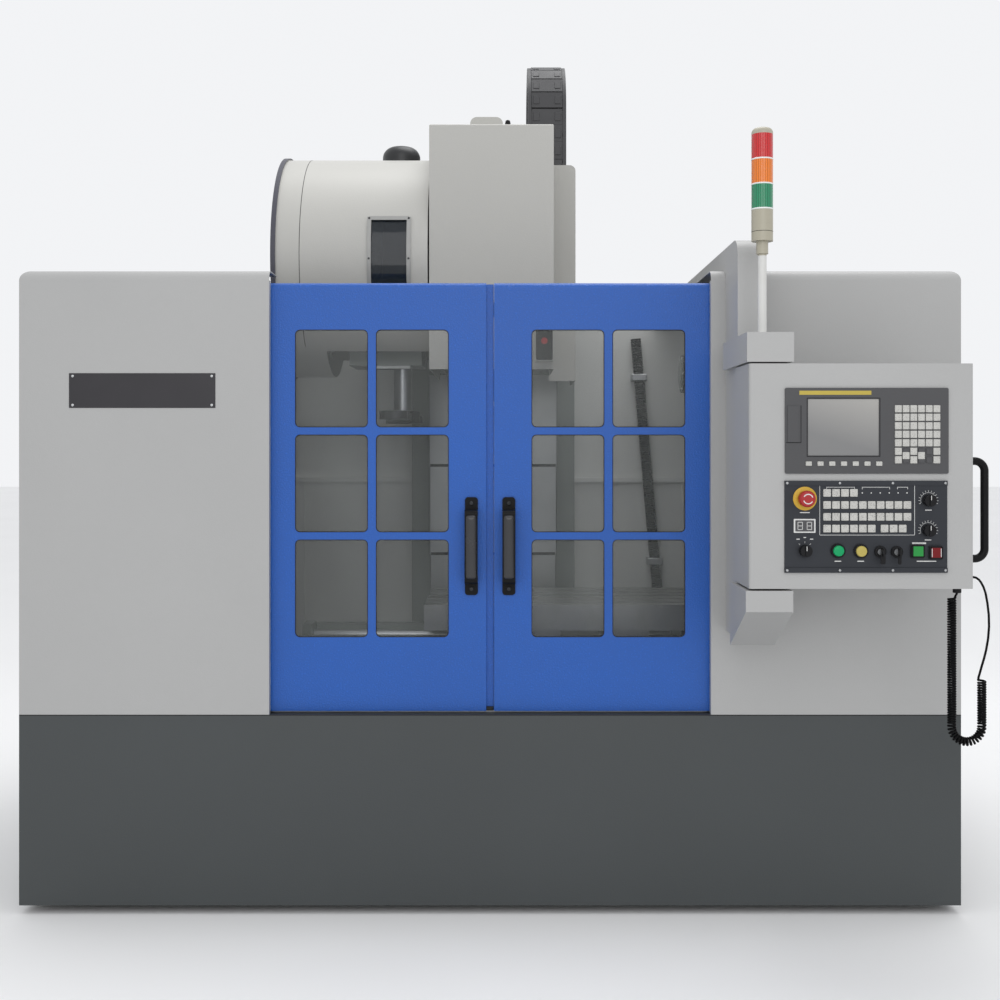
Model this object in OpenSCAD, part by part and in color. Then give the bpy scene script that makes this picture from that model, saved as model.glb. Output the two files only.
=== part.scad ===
// Vertical machining centre: guarded milling machine with sliding doors, arm type tool
// changer, swivelling operator pendant and signal tower. Millimetres, Z up, front towards -Y.

/* [Guarding] */
// Overall width of the guarding
guard_w = 2600; // [2560:10:2660]
// Gap between the floor and the skirt
skirt_clear = 25; // [23:1:40]
// Thickness of the sheet metal
sheet = 3; // [2:0.5:4]
// Bend radius along the front top edge of the side guards
panel_round = 28; // [20:1:36]
// Radius of the outer top corner of the side guards
corner_round = 30; // [16:1:36]

/* [Doors] */
// Width of one window
window_w = 203; // [190:1:206]
// Height of one window
window_h = 272; // [250:1:276]
// Corner radius of the windows
window_r = 14; // [8:1:24]
// Thickness of the window pane
glass_t = 6; // [5:0.5:8]
// Height of the pull handles
handle_h = 272; // [240:2:300]
// Width of the pull handles
handle_w = 36; // [30:1:40]

/* [Table] */
// Table length along X
table_l = 1000; // [960:10:1020]
// Table width along Y
table_w = 500; // [470:5:504]
// Width of a T slot
slot_w = 18; // [14:1:20]
// Number of T slots
slot_n = 5; // [3:1:5]

/* [Spindle head] */
// Width of the head cover
head_w = 390; // [376:1:394]
// Diameter of the spindle shaft
shaft_d = 90; // [80:1:94]

/* [Tool changer] */
// Outer radius of the magazine drum
drum_r = 365; // [358:1:368]
// Number of tool pots
pot_n = 24; // [12:1:24]
// Diameter of a tool pot
pot_d = 56; // [48:1:60]
// Width of the cable chain
chain_w = 135; // [120:1:138]

/* [Operator pendant] */
// Width of the pendant box
pendant_w = 550; // [544:1:560]
// Depth of the pendant box
pendant_d = 190; // [170:1:194]
// Diameter of the emergency stop cap
estop_d = 40; // [36:1:44]
// Diameter of the round push buttons
button_d = 26; // [22:1:28]
// Diameter of the selector knobs
dial_d = 29; // [24:1:32]

/* [Signal tower] */
// Diameter of a lens
lens_d = 54; // [48:1:60]
// Height of a lens
lens_h = 63; // [50:1:70]
// Length of the tower pole
pole_h = 201; // [150:1:240]

/* [Hidden] */
$fn = 48;

// Clearances
run_fit = 0.05; // shaft in its bore, on the radius
slide_gap = 0.5; // sliding pieces of the guarding
rail_gap = 0.3; // carriage round its rail
stem_gap = 0.3; // push buttons in their holes
over = 20; // how far a cutter runs past a face

// Heights of the guarding
skirt_top = 550;
panel_top = 1779;
chip_floor_z = 395;
rim_w = 40; // inward flange on top of the skirt

// Depths, measured from the front plane of the guarding
pendant_v = -398; // pendant front
plate_t = 3; // operator plate on the pendant
estop_reach = 36; // cap front ahead of the plate
column_v0 = 1270; // front of the column, which everything behind and above follows
spindle_v = column_v0 - 570; // spindle axis
guard_back = column_v0 + 60; // back of the guarding
cabinet_v0 = column_v0 + 530;
cabinet_v1 = cabinet_v0 + 350;
cabinet_x = 550;
cabinet_z = [500, 1950];
cabinet_door_t = 22;
latch_t = 25;
latch_x = [478, 518];
latch_z = [1210, 1340];
hinge_d = 16; // knuckles of the cabinet door
hinge_h = 90;
hinge_z = [620, 1180, 1740];
front_most = pendant_v - plate_t - estop_reach;
back_most = cabinet_v1 + cabinet_door_t + latch_t;
front_y = -(front_most + back_most) / 2; // Y of the guarding's front plane
half_w = guard_w / 2;

// Door opening and doors
opening_x = 610; // half width of the opening
jamb_flange = 22;
door_v = 28; // front face of the doors
door_d = 50;
door_z0 = 556;
door_z1 = 1748;
door_edge_x = 11; // inner edge of each door face
door_outer_x = 650;
door_round = 16;
lip_v = 38; // recessed strip between the doors
lip_gap = 1;
window_x = [216.5, 441.5]; // centres of the two columns of windows
window_z = [897, 1189, 1481]; // centres of the three rows
pane_margin = 20; // glass beyond the window edges
bar_v = 92; // hanging bar behind the doors
bar_t = 12;
bar_z0 = 1660;
bar_z1 = 1700;
track_v = 46;
track_h = 5;
track_t = 12;
glide_x = [90, 590]; // door glides on the hanging bar
glide_w = 40;
glide_top = 1740;
stiffener_z = 1640;
handle_x = 52;
handle_z = 1015;
handle_reach = 45;
handle_flange = 34; // screwed foot at either end
handle_flange_t = 6;
handle_leg = 18;
handle_grip = 17;
handle_round = 12;

// Bed, saddle, table
bed_x = 400;
bed_z0 = 70;
bed_z1 = 458;
bed_v0 = 190;
bed_v1 = cabinet_v0 + 50;
bed_wall = 45;
bed_gap = 6; // chip floor round the bed
bed_top_t = 58;
lug_x = 440;
lug_w = 100;
lug_t = 45;
lug_hole_d = 27;
lug_v = [bed_v0 + 70, bed_v0 + 810, bed_v1 - 90];
lug_relief = 40; // pocket above a lug for the nut
bed_rib = 60; // wall between the two pockets

foot_d = 100;
foot_h = 22;
stud_d = 24;
stud_top = 150;
shoulder_d = 44;
nut_w = 42;
nut_h = 22;
rail_w = 34;
rail_h = 30;
y_rail_x = 300;
y_rail_v = [bed_v0 + 25, column_v0 - 80];
y_block_dv = 150; // Y carriages before and behind the saddle centre
y_screw_z = 470;
y_screw_d = 36;
channel_x = 85;
channel_z = 412;
boss_t = 32;
boss_gap = 8; // screw boss below what passes over it
screw_end = 6;
nut_x = 60; // ball nut housings
nut_l = 90;
nut_drop = 34;
saddle_x = 620;
saddle_d = 470;
saddle_z0 = 520;
saddle_z1 = 660;
block_w = 100;
block_l = 140;
block_drop = 58; // carriage height below or above its carrier
table_block_drop = 55;
table_block_l = 130;
x_rail_dv = 160; // X rails either side of the saddle centre
x_rail_x = 615;
x_screw_z = 672;
saddle_groove = 100; // channel for the X screw
saddle_groove_drop = 62;
x_screw_d = 32;
x_motor_w = 90;
x_motor_l = 166;
table_x = 290; // rest position of the table along X
table_z0 = 720;
table_z1 = 800;
slot_pitch = 90;
slot_depth = 30;
slot_t_w = 1.65 * slot_w;
slot_t_h = 12;
table_block_dx = 140;

// Column and head
column_x = 305;
column_top = 2250;
column_wall = 36;
z_rail_x = 145;
z_rail_z = [1000, 2180];
z_block_gap = 8; // Z carriage to the column face
z_block_z = [1580, 1850];
z_nut_z = [1740, 1830];
z_screw_v = column_v0 - 27;
z_boss = [60, 50, 60]; // half width, reach in front of the screw, height
z_stand = [80, 70, 25]; // motor stand on the column: half width, reach, height
z_screw_d = 36;
z_screw_z = [1010, 2274];
motor_w = 130;
motor_h = 165;
motor_cap = [8, 18]; // inset and height of the cover on a motor
motor_flange = [3, 10];
y_motor_v = 30;
head_back = column_v0 - 65;
head_x = 170;
head_z0 = 1560;
head_z1 = 1900;
plate_x = 195;
plate_t_back = 55;
plate_z1 = 2000;
nose_z = 1440;
nose_h = 30;
nose_d = 160;
quill_d = 220;
cover_lug_v = [180, 260]; // behind the spindle axis
cover_lug_z = [1600, 1700];
spindle_motor_x = 110;
spindle_motor_top = 2180;
fan_d = 150;
fan_top = 2240;
face_d = 110; // spindle face
face_drop = 12;
taper_d = [46.8, 25.5];
taper_l = 65;
dog_x = 41; // drive dogs on the spindle face
dog = [18, 16, 10];
cover_v0 = spindle_v - 230;
cover_v1 = column_v0 - 160;
cover_z0 = 1535;
cover_z1 = 2302;
cover_round = 20;
cover_edge = 5;
side_x = 282; // right face of the side cover
side_v = spindle_v + 100;
side_lap = 60;
side_z0 = 1516;
side_z1 = 2247;
cap_x = [-70, 36];
cap_v = [-100, 20]; // from the spindle axis
cap_round = 22;
cap_top = 2358;
gland_at = [52, -60];
gland_top = 54;
gland_top_d = 14;
release_x = [136, 192];
release_z = [1559, 1657];
release_d = 20;
release_v = cover_v0 - 40;
release_at = [164, 1620];
release_out = 6;
release_hole = 25;
release_l = 26;

// Cable chain loop
chain_x = 192.5;
chain_t = 65;
chain_near = column_v0 - 285;
chain_far = column_v0 + column_wall + slide_gap; // runs along the column's front wall
chain_top = 2680;
chain_plate = 12;
chain_pitch = 92;
chain_lid = 80; // cover on the outside of each link
chain_bar = [14, 9];
chain_bend_n = 6;
chain_inset = 2; // lids and bars inside the side plates
chain_seat = 20; // room below the end of the chain in the head
chain_end_near = 1932;
chain_end_far = 1900;
chain_gap = 7; // room round the chain where it passes a cover
chain_r = (chain_far + chain_t - chain_near) / 2;
chain_c = [(chain_near + chain_far + chain_t) / 2, chain_top - chain_r];

// Tool changer
drum_v = column_v0 - 441;
drum_z = 1895;
drum_x0 = -690;
drum_x1 = -200;
drum_cut_x = -535;
drum_cut_z = 1602;
trim_t = 4;
drum_gap = 30; // cut out of the side guard round the drum
trim_w = 12;
pane_x = [-378, -264];
pane_z = [1750, 2004];
pane_frame = 10;
pane_t = 4;
arm_x = -300;
arm_v = column_v0 - 506;
arm_z = [1370, 1412];
arm_reach = 307;
arm_w = 84;
jaw_d = 63;
arm_shaft_d = 60;
arm_hub_d = 116;
arm_thin = 8; // arm blade inside the hub's height
blade_z = [arm_z[0] + arm_thin, arm_z[1] - arm_thin];
arm_inset = 20;
jaw_lip = 7;
jaw_mouth = 90;
gearbox_x = [-470, -230];
gearbox_v = [drum_v - 149, drum_v + 71];
gearbox_z = [1560, 1850];
shaft_bore_z = 1800;
arm_shaft_z1 = 1640;
bracket_x0 = -400; // arm that carries the changer from the column
bracket_v = [drum_v + 51, column_v0 + 230];
bracket_z = [1640, 1840];
bracket_gap = 2;
drum_tie_x = -240; // tie to the drum cover
drum_tie_v = [drum_v - 49, drum_v + 51];
drum_tie_z = [1650, 1750];
hanger_x = -385;
hanger_z = 1950;
changer_motor_x = -311;
changer_motor_v = drum_v + 21;
changer_motor_d = 128;
changer_motor_top = 2317;
changer_motor_round = 38;
axle_d = 50;
axle_x = [-598, -470];
hub_d = 140;
hub_x = [-600, -545];
disc_x = [-590, -574];
pot_ring_r = 285;
pot_x = -670;
pot_l = 110;
pot_bore_d = 34;
pot_bore_x = -610;

// Lamp and conduit inside the guarding
lamp_v = spindle_v - 150;
lamp_z = 1524;
lamp_d = [120, 90];
lamp_x = [604, 634, 648, 664];
lamp_arm = 15;
lamp_arm_z = 1500;
conduit_d = 42;
conduit_v = guard_back - 45;
conduit_foot = [621, 716];
conduit_head = [536, 1703];
conduit_clip = [54, 24];
splash_bend_z = 1160;
splash_rib = 18;
splash_step = [3, 8];
splash_step_x = [720, 760];

// Telescopic covers
y_cover_v = 26;
y_cover_x = 380;
y_cover_z = 541;
y_cover_step = [4, 7];
y_cover_lap = 24;
y_cover_skirt = 60;
y_cover_lip = 8;
z_cover_x = 232;
z_cover_v = 12;
z_cover_step = [2, 4];
z_cover_lap = 20;
z_cover_edges = [474, 768, 913, 1240, head_z0];

// Drives in the electrical cabinet
drive_n = 5;
drive_x0 = -430;
drive_pitch = 150;
drive_w = 120;
drive_d = 200;
drive_z = [1500, 1880];
rail_box_d = 110;
rail_box_z = [1150, 1280];
transformer_x = [-400, -120];
transformer_d = 240;
transformer_z = 800;

// Pendant and its support
pillar_x = [650, 718];
pillar_v = -182;
pillar_z0 = 785;
pillar_top = 1838;
pillar_round = 50;
beam_z0 = 1760;
pillar_low_v = -57;
arm_top_x = [633, 748];
arm_low_x = [630, 746];
pin_l = 14;
pivot_x = 692;
pivot_v = -290;
pin_d = 30;
pendant_x0 = 638;
pendant_x1 = pendant_x0 + pendant_w;
pendant_z0 = 942;
pendant_z1 = 1494;
pendant_v1 = pendant_v + pendant_d;
pendant_edge = 8;
arm_top_z = [1498, 1571];
arm_low_z = [772, 885, 937];
washer_d = 60;
tube_d = 20;
tube_x = 1250;
tube_z = [1008, 1254];
tube_foot = [1.8, 4];
tube_bend = 25;
unit_x = [725, 1125];
unit_z = [1224, 1434];
unit_t = 4;
unit_edge = 12; // rim round the hole behind the unit
screen_x = [781, 955];
screen_z = [1268, 1407];
screen_drop = 2;
unit_back = 60;
unit_round = 4;
soft_key_h = 10;
plate_x0 = 724;
plate_x1 = 1122;
plate_z = [982, 1207];
face_v = pendant_v - plate_t; // front of the operator plate
key_w = 18;
key_pitch = 21.8;
key_x0 = 827.6;
key_rows = [[1177.2, 4], [1147.6, 10], [1118.7, 10], [1090, 6]];
side_keys = [968.1, 990.1, 1012.2];
key_h = 2.5;
soft_pitch = 28.7;
soft_x0 = 782.6;
soft_z = 1248.7;
pad_x0 = 1001.5;
pad_z0 = 1258;
pad_pitch = [18.8, 20.8];
pad_key = 14;
pad_cols = 6;
pad_rows = 7;
flap_x = [731, 758];
flap_z = [1301, 1390];
flap_t = 2;
strip_w = 12; // clamping strips along the operator plate
strip_t = 3;
estop_disc_d = 56;
disc_t = 2;
bezel_w = 4;
bezel_t = 6;
estop_stem = [18, 32];
estop_cap_v = 13;
estop_round = 9;
estop_at = [773.5, 1163.3];
start_at = [854.3, 1035.7];
hold_at = [910.1, 1034.8];
mode_at = [773.5, 1035.7];
left_key_at = [957.6, 1033.5];
right_key_at = [998.2, 1032.8];
power_on_at = [1048.7, 1034.8];
power_off_at = [1093, 1031.3];
feed_at = [1075.8, 1158.9];
rapid_at = [1074.8, 1085.7];
stem_d = 22;
square_w = 24;
shaft_small_d = 10;
lock_d = 16;
stem_l = 14; // stems behind the plate
dial_reach = 20;
dial_foot = 1;
dial_ridge = [2.5, 3, 2];
button_reach = 10;
square_reach = 9;
lock_reach = 10;
key_blade = [2.4, 6, 4];
key_bow = 18;
readout_x = [746.8, 798.7];
readout_z = [1080, 1113];

// Signal tower
tower_z = arm_top_z[1];
tower_foot = 6;
tower_foot_d = 50;
pole_d = 22;
collar_d = 30;
collar_h = 32;
tower_body_h = 81;
lens_z = tower_z + tower_foot + pole_h + collar_h + tower_body_h;
lens_wall = 3;
tower_rod_d = 16;
tower_cap_h = 17;
tower_cap_flat = 4;

// Hand wheel lead: points along its middle line and the tube diameter at each
cord_d = 6;
coil_d = 23;
cord_v = -330;
gland_d = 20;
gland_l = 16;
cord_sides = 10;
cord_start = [1171, cord_v, pendant_z0 - gland_l];
cord_end = [pendant_x1 + gland_l, cord_v, 964];
leg_x = [1158, 1233];
coil_top = 898;
bend_z = 590;
bend_r = (leg_x[1] - leg_x[0]) / 2;
cord_points = [
    [cord_start, cord_d],
    [cord_start - [0, 0, 4], cord_d],
    [[1166, cord_v, 914], cord_d],
    [[leg_x[0], cord_v, 906], cord_d],
    [[leg_x[0], cord_v, coil_top], coil_d],
    for (k = [1:5]) [[leg_x[0], cord_v, coil_top - k * (coil_top - bend_z) / 6], coil_d],
    for (k = [0:10])
        [[leg_x[0] + bend_r - bend_r * cos(18 * k), cord_v, bend_z - bend_r * sin(18 * k)], coil_d],
    [[leg_x[1], cord_v, 650], coil_d],
    [[leg_x[1], cord_v, 709], coil_d],
    [[leg_x[1] + 1, cord_v, 719], cord_d],
    [[1240, cord_v, 770], cord_d],
    [[1248, cord_v, 837], cord_d],
    [[1246, cord_v, 900], cord_d],
    [[1237, cord_v, 940], cord_d],
    [[1226, cord_v, 959], cord_d],
    [cord_end + [8, 0, 0], cord_d],
    [cord_end, cord_d]];

// Shapes used by several pieces

module place() translate([0, front_y, 0]) children();

// Box between two corners
module block(x, v, z)
    translate([x[0], v[0], z[0]])
        cube([x[1] - x[0], v[1] - v[0], z[1] - z[0]]);

// Extrusion along X of a profile drawn in depth and height
module along_x(x0, x1)
    translate([x0, 0, 0]) rotate([90, 0, 90]) linear_extrude(x1 - x0) children();

// Extrusion along depth of a profile drawn in X and height
module along_v(v0, v1)
    translate([0, v1, 0]) rotate([90, 0, 0]) linear_extrude(v1 - v0) children();

// Extrusion upwards of a plan
module along_z(z0, z1) translate([0, 0, z0]) linear_extrude(z1 - z0) children();

// Range from one place to another on the side given by s, lowest first
function span(s, a, b) = [min(s * a, s * b), max(s * a, s * b)];

module area(a, b) translate([a[0], b[0]]) square([a[1] - a[0], b[1] - b[0]]);

// Rectangle with four round corners
module round_area(a, b, r) {
    area([a[0] + r, a[1] - r], b);
    area(a, [b[0] + r, b[1] - r]);
    for (u = [a[0] + r, a[1] - r], w = [b[0] + r, b[1] - r])
        translate([u, w]) circle(r);
}

// Rectangle whose upper corner on the low side of the first axis is round
module bend_area(a, b, r) {
    area([a[0] + r, a[1]], b);
    area(a, [b[0], b[1] - r]);
    translate([a[0] + r, b[1] - r]) circle(r);
}

// Rectangle with two round upper corners
module arch_area(a, b, r) {
    area([a[0] + r, a[1] - r], b);
    area(a, [b[0], b[1] - r]);
    for (u = [a[0] + r, a[1] - r]) translate([u, b[1] - r]) circle(r);
}

// Upright cylinder, and cylinders along depth and along X
module post(p, d, z) translate([p[0], p[1], z[0]]) cylinder(d = d, h = z[1] - z[0]);
module rod_v(p, d, v)
    translate([p[0], v[1], p[1]]) rotate([90, 0, 0]) cylinder(d = d, h = v[1] - v[0]);
module rod_x(p, d, x)
    translate([x[0], p[0], p[1]]) rotate([0, 90, 0]) cylinder(d = d, h = x[1] - x[0]);

// Side guard with its outer wall on the left, before cut outs
module wing_shell() {
    difference() {
        intersection() {
            along_v(0, guard_back - sheet)
                bend_area([-half_w, -opening_x], [skirt_top, panel_top], corner_round);
            along_x(-half_w, -opening_x)
                bend_area([0, guard_back], [skirt_top, panel_top], panel_round);
        }
        intersection() {
            along_v(sheet, guard_back + over)
                bend_area([-half_w + sheet, -opening_x + over],
                    [skirt_top - over, panel_top - sheet], corner_round - sheet);
            along_x(-half_w, -opening_x + over)
                bend_area([sheet, guard_back + over], [skirt_top - over, panel_top - sheet],
                    panel_round - sheet);
        }
    }
    block([-opening_x - sheet, -opening_x], [sheet, jamb_flange], [skirt_top, panel_top - panel_round]);
}

// Left hand door without its lip
module door_pan() {
    inner = door_d - sheet;
    difference() {
        along_x(-door_outer_x, -door_edge_x)
            bend_area([door_v, door_v + door_d], [door_z0, door_z1], door_round);
        along_x(-door_outer_x + sheet, -door_edge_x - sheet)
            bend_area([door_v + sheet, door_v + door_d + over], [door_z0 + sheet, door_z1 - sheet],
                door_round - sheet);
        for (x = window_x, z = window_z)
            along_v(door_v - over, door_v + inner)
                round_area([-x - window_w / 2, -x + window_w / 2],
                    [z - window_h / 2, z + window_h / 2], window_r);
    }
    block([-door_outer_x, -door_edge_x], [door_v + inner, door_v + door_d],
        [stiffener_z, door_z1 - sheet]);
    for (x = glide_x)
        block([-x - glide_w / 2, -x + glide_w / 2], [door_v + door_d, bar_v + bar_t],
            [bar_z1 + slide_gap, glide_top]);
}

module door_pane() {
    reach = (window_w + 2 * pane_margin) / 2;
    block([-window_x[1] - reach, -window_x[0] + reach],
        [door_v + sheet, door_v + sheet + glass_t],
        [window_z[0] - window_h / 2 - pane_margin, window_z[2] + window_h / 2 + pane_margin]);
}

module door_pull() {
    x = [-handle_x - handle_w / 2, -handle_x + handle_w / 2];
    z = [handle_z - handle_h / 2, handle_z + handle_h / 2];
    grip = [z[0] + handle_flange, z[1] - handle_flange];
    front = door_v - handle_reach;
    intersection() {
        along_x(x[0], x[1])
            difference() {
                union() {
                    area([door_v - handle_flange_t, door_v], z);
                    round_area([front, door_v + handle_round], grip, handle_round);
                }
                round_area([front + handle_grip, door_v + 2 * over],
                    [grip[0] + handle_leg, grip[1] - handle_leg], handle_round);
                area([door_v, door_v + 3 * over], z);
            }
        along_v(front, door_v) round_area(x, z, handle_w / 4);
    }
}

// Carriage cut so that it straddles a rail: x is the rail centre, v its length
module y_carriage(x, v)
    difference() {
        block([x - block_w / 2, x + block_w / 2], [v - block_l / 2, v + block_l / 2],
            [saddle_z0 - block_drop, saddle_z0]);
        block([x - rail_w / 2 - rail_gap, x + rail_w / 2 + rail_gap],
            [v - block_l, v + block_l], [bed_z1 - over, bed_z1 + rail_h + rail_gap]);
    }

module x_carriage(x, v)
    difference() {
        block([x - table_block_l / 2, x + table_block_l / 2], [v - block_w / 2, v + block_w / 2],
            [table_z0 - table_block_drop, table_z0]);
        block([x - block_l, x + block_l], [v - rail_w / 2 - rail_gap, v + rail_w / 2 + rail_gap],
            [saddle_z1 - over, saddle_z1 + rail_h + rail_gap]);
    }

module z_carriage(x, z)
    difference() {
        block([x - block_w / 2, x + block_w / 2], [head_back, column_v0 - z_block_gap],
            [z, z + block_l]);
        block([x - rail_w / 2 - rail_gap, x + rail_w / 2 + rail_gap],
            [column_v0 - rail_h - rail_gap, column_v0 + over], [z - over, z + block_l + over]);
    }

// Knob that turns about an axis along depth, with a pointer ridge and a shaft through the plate
module knob(at) {
    front = face_v - dial_reach;
    ridge_l = dial_d / 2 - dial_ridge[2];
    rod_v(at, dial_d, [front, face_v - dial_foot]);
    rod_v(at, shaft_small_d, [face_v - dial_foot, pendant_v + stem_l]);
    block([at[0] - dial_ridge[0], at[0] + dial_ridge[0]], [front - dial_ridge[1], front],
        [at[1] - ridge_l, at[1] + ridge_l]);
}

// Round push button that slides through its bezel
module push_button(at) rod_v(at, button_d, [face_v - button_reach, pendant_v + stem_l]);

module square_button(at)
    block([at[0] - square_w / 2, at[0] + square_w / 2], [face_v - square_reach, pendant_v + stem_l],
        [at[1] - square_w / 2, at[1] + square_w / 2]);

// Lock barrel with its key
module key_switch(at) {
    x = [at[0] - key_blade[0] / 2, at[0] + key_blade[0] / 2];
    front = face_v - lock_reach;
    rod_v(at, lock_d, [front, pendant_v + stem_l]);
    block(x, [front - key_blade[1], front], [at[1] - key_blade[2], at[1] + key_blade[2]]);
    block(x, [front - key_blade[1] - key_bow, front - key_blade[1]],
        [at[1] - key_bow / 2, at[1] + key_bow / 2]);
}

module lens(k)
    difference() {
        post([pivot_x, pivot_v], lens_d, [lens_z + k * lens_h, lens_z + (k + 1) * lens_h]);
        post([pivot_x, pivot_v], lens_d - 2 * lens_wall,
            [lens_z + k * lens_h - over, lens_z + (k + 1) * lens_h + over]);
    }

// One link of the cable chain, outside towards the low side: a lid outside and a bar inside
module chain_link(drop) {
    lid_out = drop + chain_inset;
    bar_out = chain_t - chain_bar[1] - chain_inset;
    translate([lid_out, -chain_lid / 2]) square([chain_bar[1], chain_lid]);
    translate([bar_out, -chain_bar[0] / 2]) square([chain_bar[1], chain_bar[0]]);
}

module chain_outline() {
    area([chain_near, chain_near + chain_t], [chain_end_near, chain_c[1]]);
    area([chain_far, chain_far + chain_t], [chain_end_far, chain_c[1]]);
    intersection() {
        translate(chain_c)
            difference() {
                circle(chain_r);
                circle(chain_r - chain_t);
            }
        area([chain_near - over, chain_far + chain_t + over], [chain_c[1], chain_top + over]);
    }
}

// Tube through rows of [point, diameter]
function minus(a, b) = [for (i = [0:2]) a[i] - b[i]];
function unit(a) = a / norm(a);
function heading(p, i) =
    unit(minus(p[min(i + 1, len(p) - 1)][0], p[max(i - 1, 0)][0]));
function ring(p, i) =
    let (t = heading(p, i), b = [0, 1, 0], n = cross(b, t))
    [for (k = [0:cord_sides - 1])
        p[i][0] + p[i][1] / 2 * (cos(360 * k / cord_sides) * n + sin(360 * k / cord_sides) * b)];

module swept_tube(p) {
    rings = len(p);
    n = cord_sides;
    polyhedron(
        points = [for (i = [0:rings - 1]) each ring(p, i)],
        faces = [
            [for (k = [0:n - 1]) k],
            for (i = [0:rings - 2], k = [0:n - 1])
                [i * n + k, (i + 1) * n + k, (i + 1) * n + (k + 1) % n, i * n + (k + 1) % n],
            [for (k = [n - 1:-1:0]) (rings - 1) * n + k]]);
}

// Fixed frame

module machine_bed() color([0.45, 0.47, 0.46]) place() {
    difference() {
        union() {
            block([-bed_x, bed_x], [bed_v0, bed_v1], [bed_z0, bed_z1]);
            for (s = [-1, 1], v = lug_v)
                block([s * lug_x - lug_w / 2, s * lug_x + lug_w / 2],
                    [v - lug_w / 2, v + lug_w / 2], [bed_z0, bed_z0 + lug_t]);
        }
        block([-bed_x + bed_wall, bed_x - bed_wall], [bed_v0 + bed_wall, column_v0 - bed_rib],
            [bed_z0 - over, channel_z - bed_top_t]);
        block([-bed_x + bed_wall, bed_x - bed_wall], [column_v0, bed_v1 - bed_wall],
            [bed_z0 - over, bed_z1 - bed_top_t]);
        block([-channel_x, channel_x], [bed_v0 - over, column_v0 - bed_rib],
            [channel_z, bed_z1 + over]);
        for (s = [-1, 1], v = lug_v)
            post([s * lug_x, v], lug_hole_d, [bed_z0 - over, bed_z0 + lug_t + over]);
        for (s = [-1, 1], v = lug_v)
            block(span(s, lug_x - foot_d / 4, bed_x), [v - shoulder_d, v + shoulder_d],
                [bed_z0 + lug_t, bed_z0 + lug_t + lug_relief]);
    }
    for (s = [-1, 1])
        block([s * y_rail_x - rail_w / 2, s * y_rail_x + rail_w / 2], y_rail_v,
            [bed_z1, bed_z1 + rail_h]);
    for (v = [bed_v0, y_rail_v[1] - boss_t])
        difference() {
            block([-channel_x, channel_x], [v, v + boss_t], [channel_z, saddle_z0 - boss_gap]);
            rod_v([0, y_screw_z], y_screw_d + 2 * run_fit, [v - over, v + boss_t + over]);
        }
}

module levelling_feet() color([0.3, 0.31, 0.33]) place()
    for (s = [-1, 1], v = lug_v) {
        at = [s * lug_x, v];
        post(at, foot_d, [0, foot_h]);
        post(at, shoulder_d, [foot_h, bed_z0]);
        post(at, stud_d, [bed_z0, stud_top]);
        translate([at[0], at[1], bed_z0 + lug_t]) cylinder(d = nut_w, h = nut_h, $fn = 6);
    }

module base_skirt() color([0.27, 0.28, 0.3]) place()
    difference() {
        union() {
            difference() {
                block([-half_w, half_w], [0, guard_back], [skirt_clear, skirt_top]);
                block([-half_w + sheet, half_w - sheet], [sheet, guard_back - sheet],
                    [skirt_clear - over, skirt_top + over]);
            }
            block([-half_w + sheet, half_w - sheet], [sheet, guard_back - sheet],
                [chip_floor_z, chip_floor_z + sheet]);
            difference() {
                block([-half_w + sheet, half_w - sheet], [sheet, guard_back - sheet],
                    [skirt_top - sheet, skirt_top]);
                block([-half_w + rim_w, half_w - rim_w], [rim_w + 2 * track_t, guard_back - rim_w],
                    [skirt_top - over, skirt_top + over]);
            }
        }
        block([-bed_x - bed_gap, bed_x + bed_gap], [bed_v0 - bed_gap, guard_back + over],
            [skirt_clear - over, skirt_top + over]);
    }

module column() color([0.5, 0.52, 0.5]) place() {
    slot_x = [chain_x - chain_w / 2 - chain_gap, chain_x + chain_w / 2 + chain_gap];
    difference() {
        block([-column_x, column_x], [column_v0, cabinet_v0], [bed_z1, column_top]);
        block([-column_x + column_wall, column_x - column_wall],
            [column_v0 + column_wall, cabinet_v0 - column_wall],
            [bed_z1 + column_wall, column_top - column_wall]);
        block(slot_x, [column_v0 - over, chain_far + chain_t + chain_gap],
            [z_rail_z[1] + chain_gap, column_top + over]);
    }
    for (s = [-1, 1])
        block([s * z_rail_x - rail_w / 2, s * z_rail_x + rail_w / 2],
            [column_v0 - rail_h, column_v0], z_rail_z);
    difference() {
        union() {
            block([-z_boss[0], z_boss[0]], [z_screw_v - z_boss[1], column_v0],
                [column_top - z_boss[2], column_top]);
            block([-z_stand[0], z_stand[0]], [z_screw_v - z_stand[1], column_v0 + z_stand[0]],
                [column_top, column_top + z_stand[2]]);
        }
        post([0, z_screw_v], z_screw_d + 2 * run_fit,
            [column_top - z_boss[2] - over, column_top + z_stand[2] + over]);
    }
}

module left_wing() color([0.69, 0.7, 0.7]) place()
    difference() {
        wing_shell();
        block([drum_x0 - drum_gap, -opening_x + over], [bar_v + drum_gap, guard_back + over],
            [panel_top - 2 * drum_gap, panel_top + over]);
    }

module right_wing() color([0.69, 0.7, 0.7]) place()
    difference() {
        mirror([1, 0, 0]) wing_shell();
        block([pillar_x[0] - slide_gap, pillar_x[1] + slide_gap], [-over, guard_back + over],
            [beam_z0 - slide_gap, panel_top + over]);
    }

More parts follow.
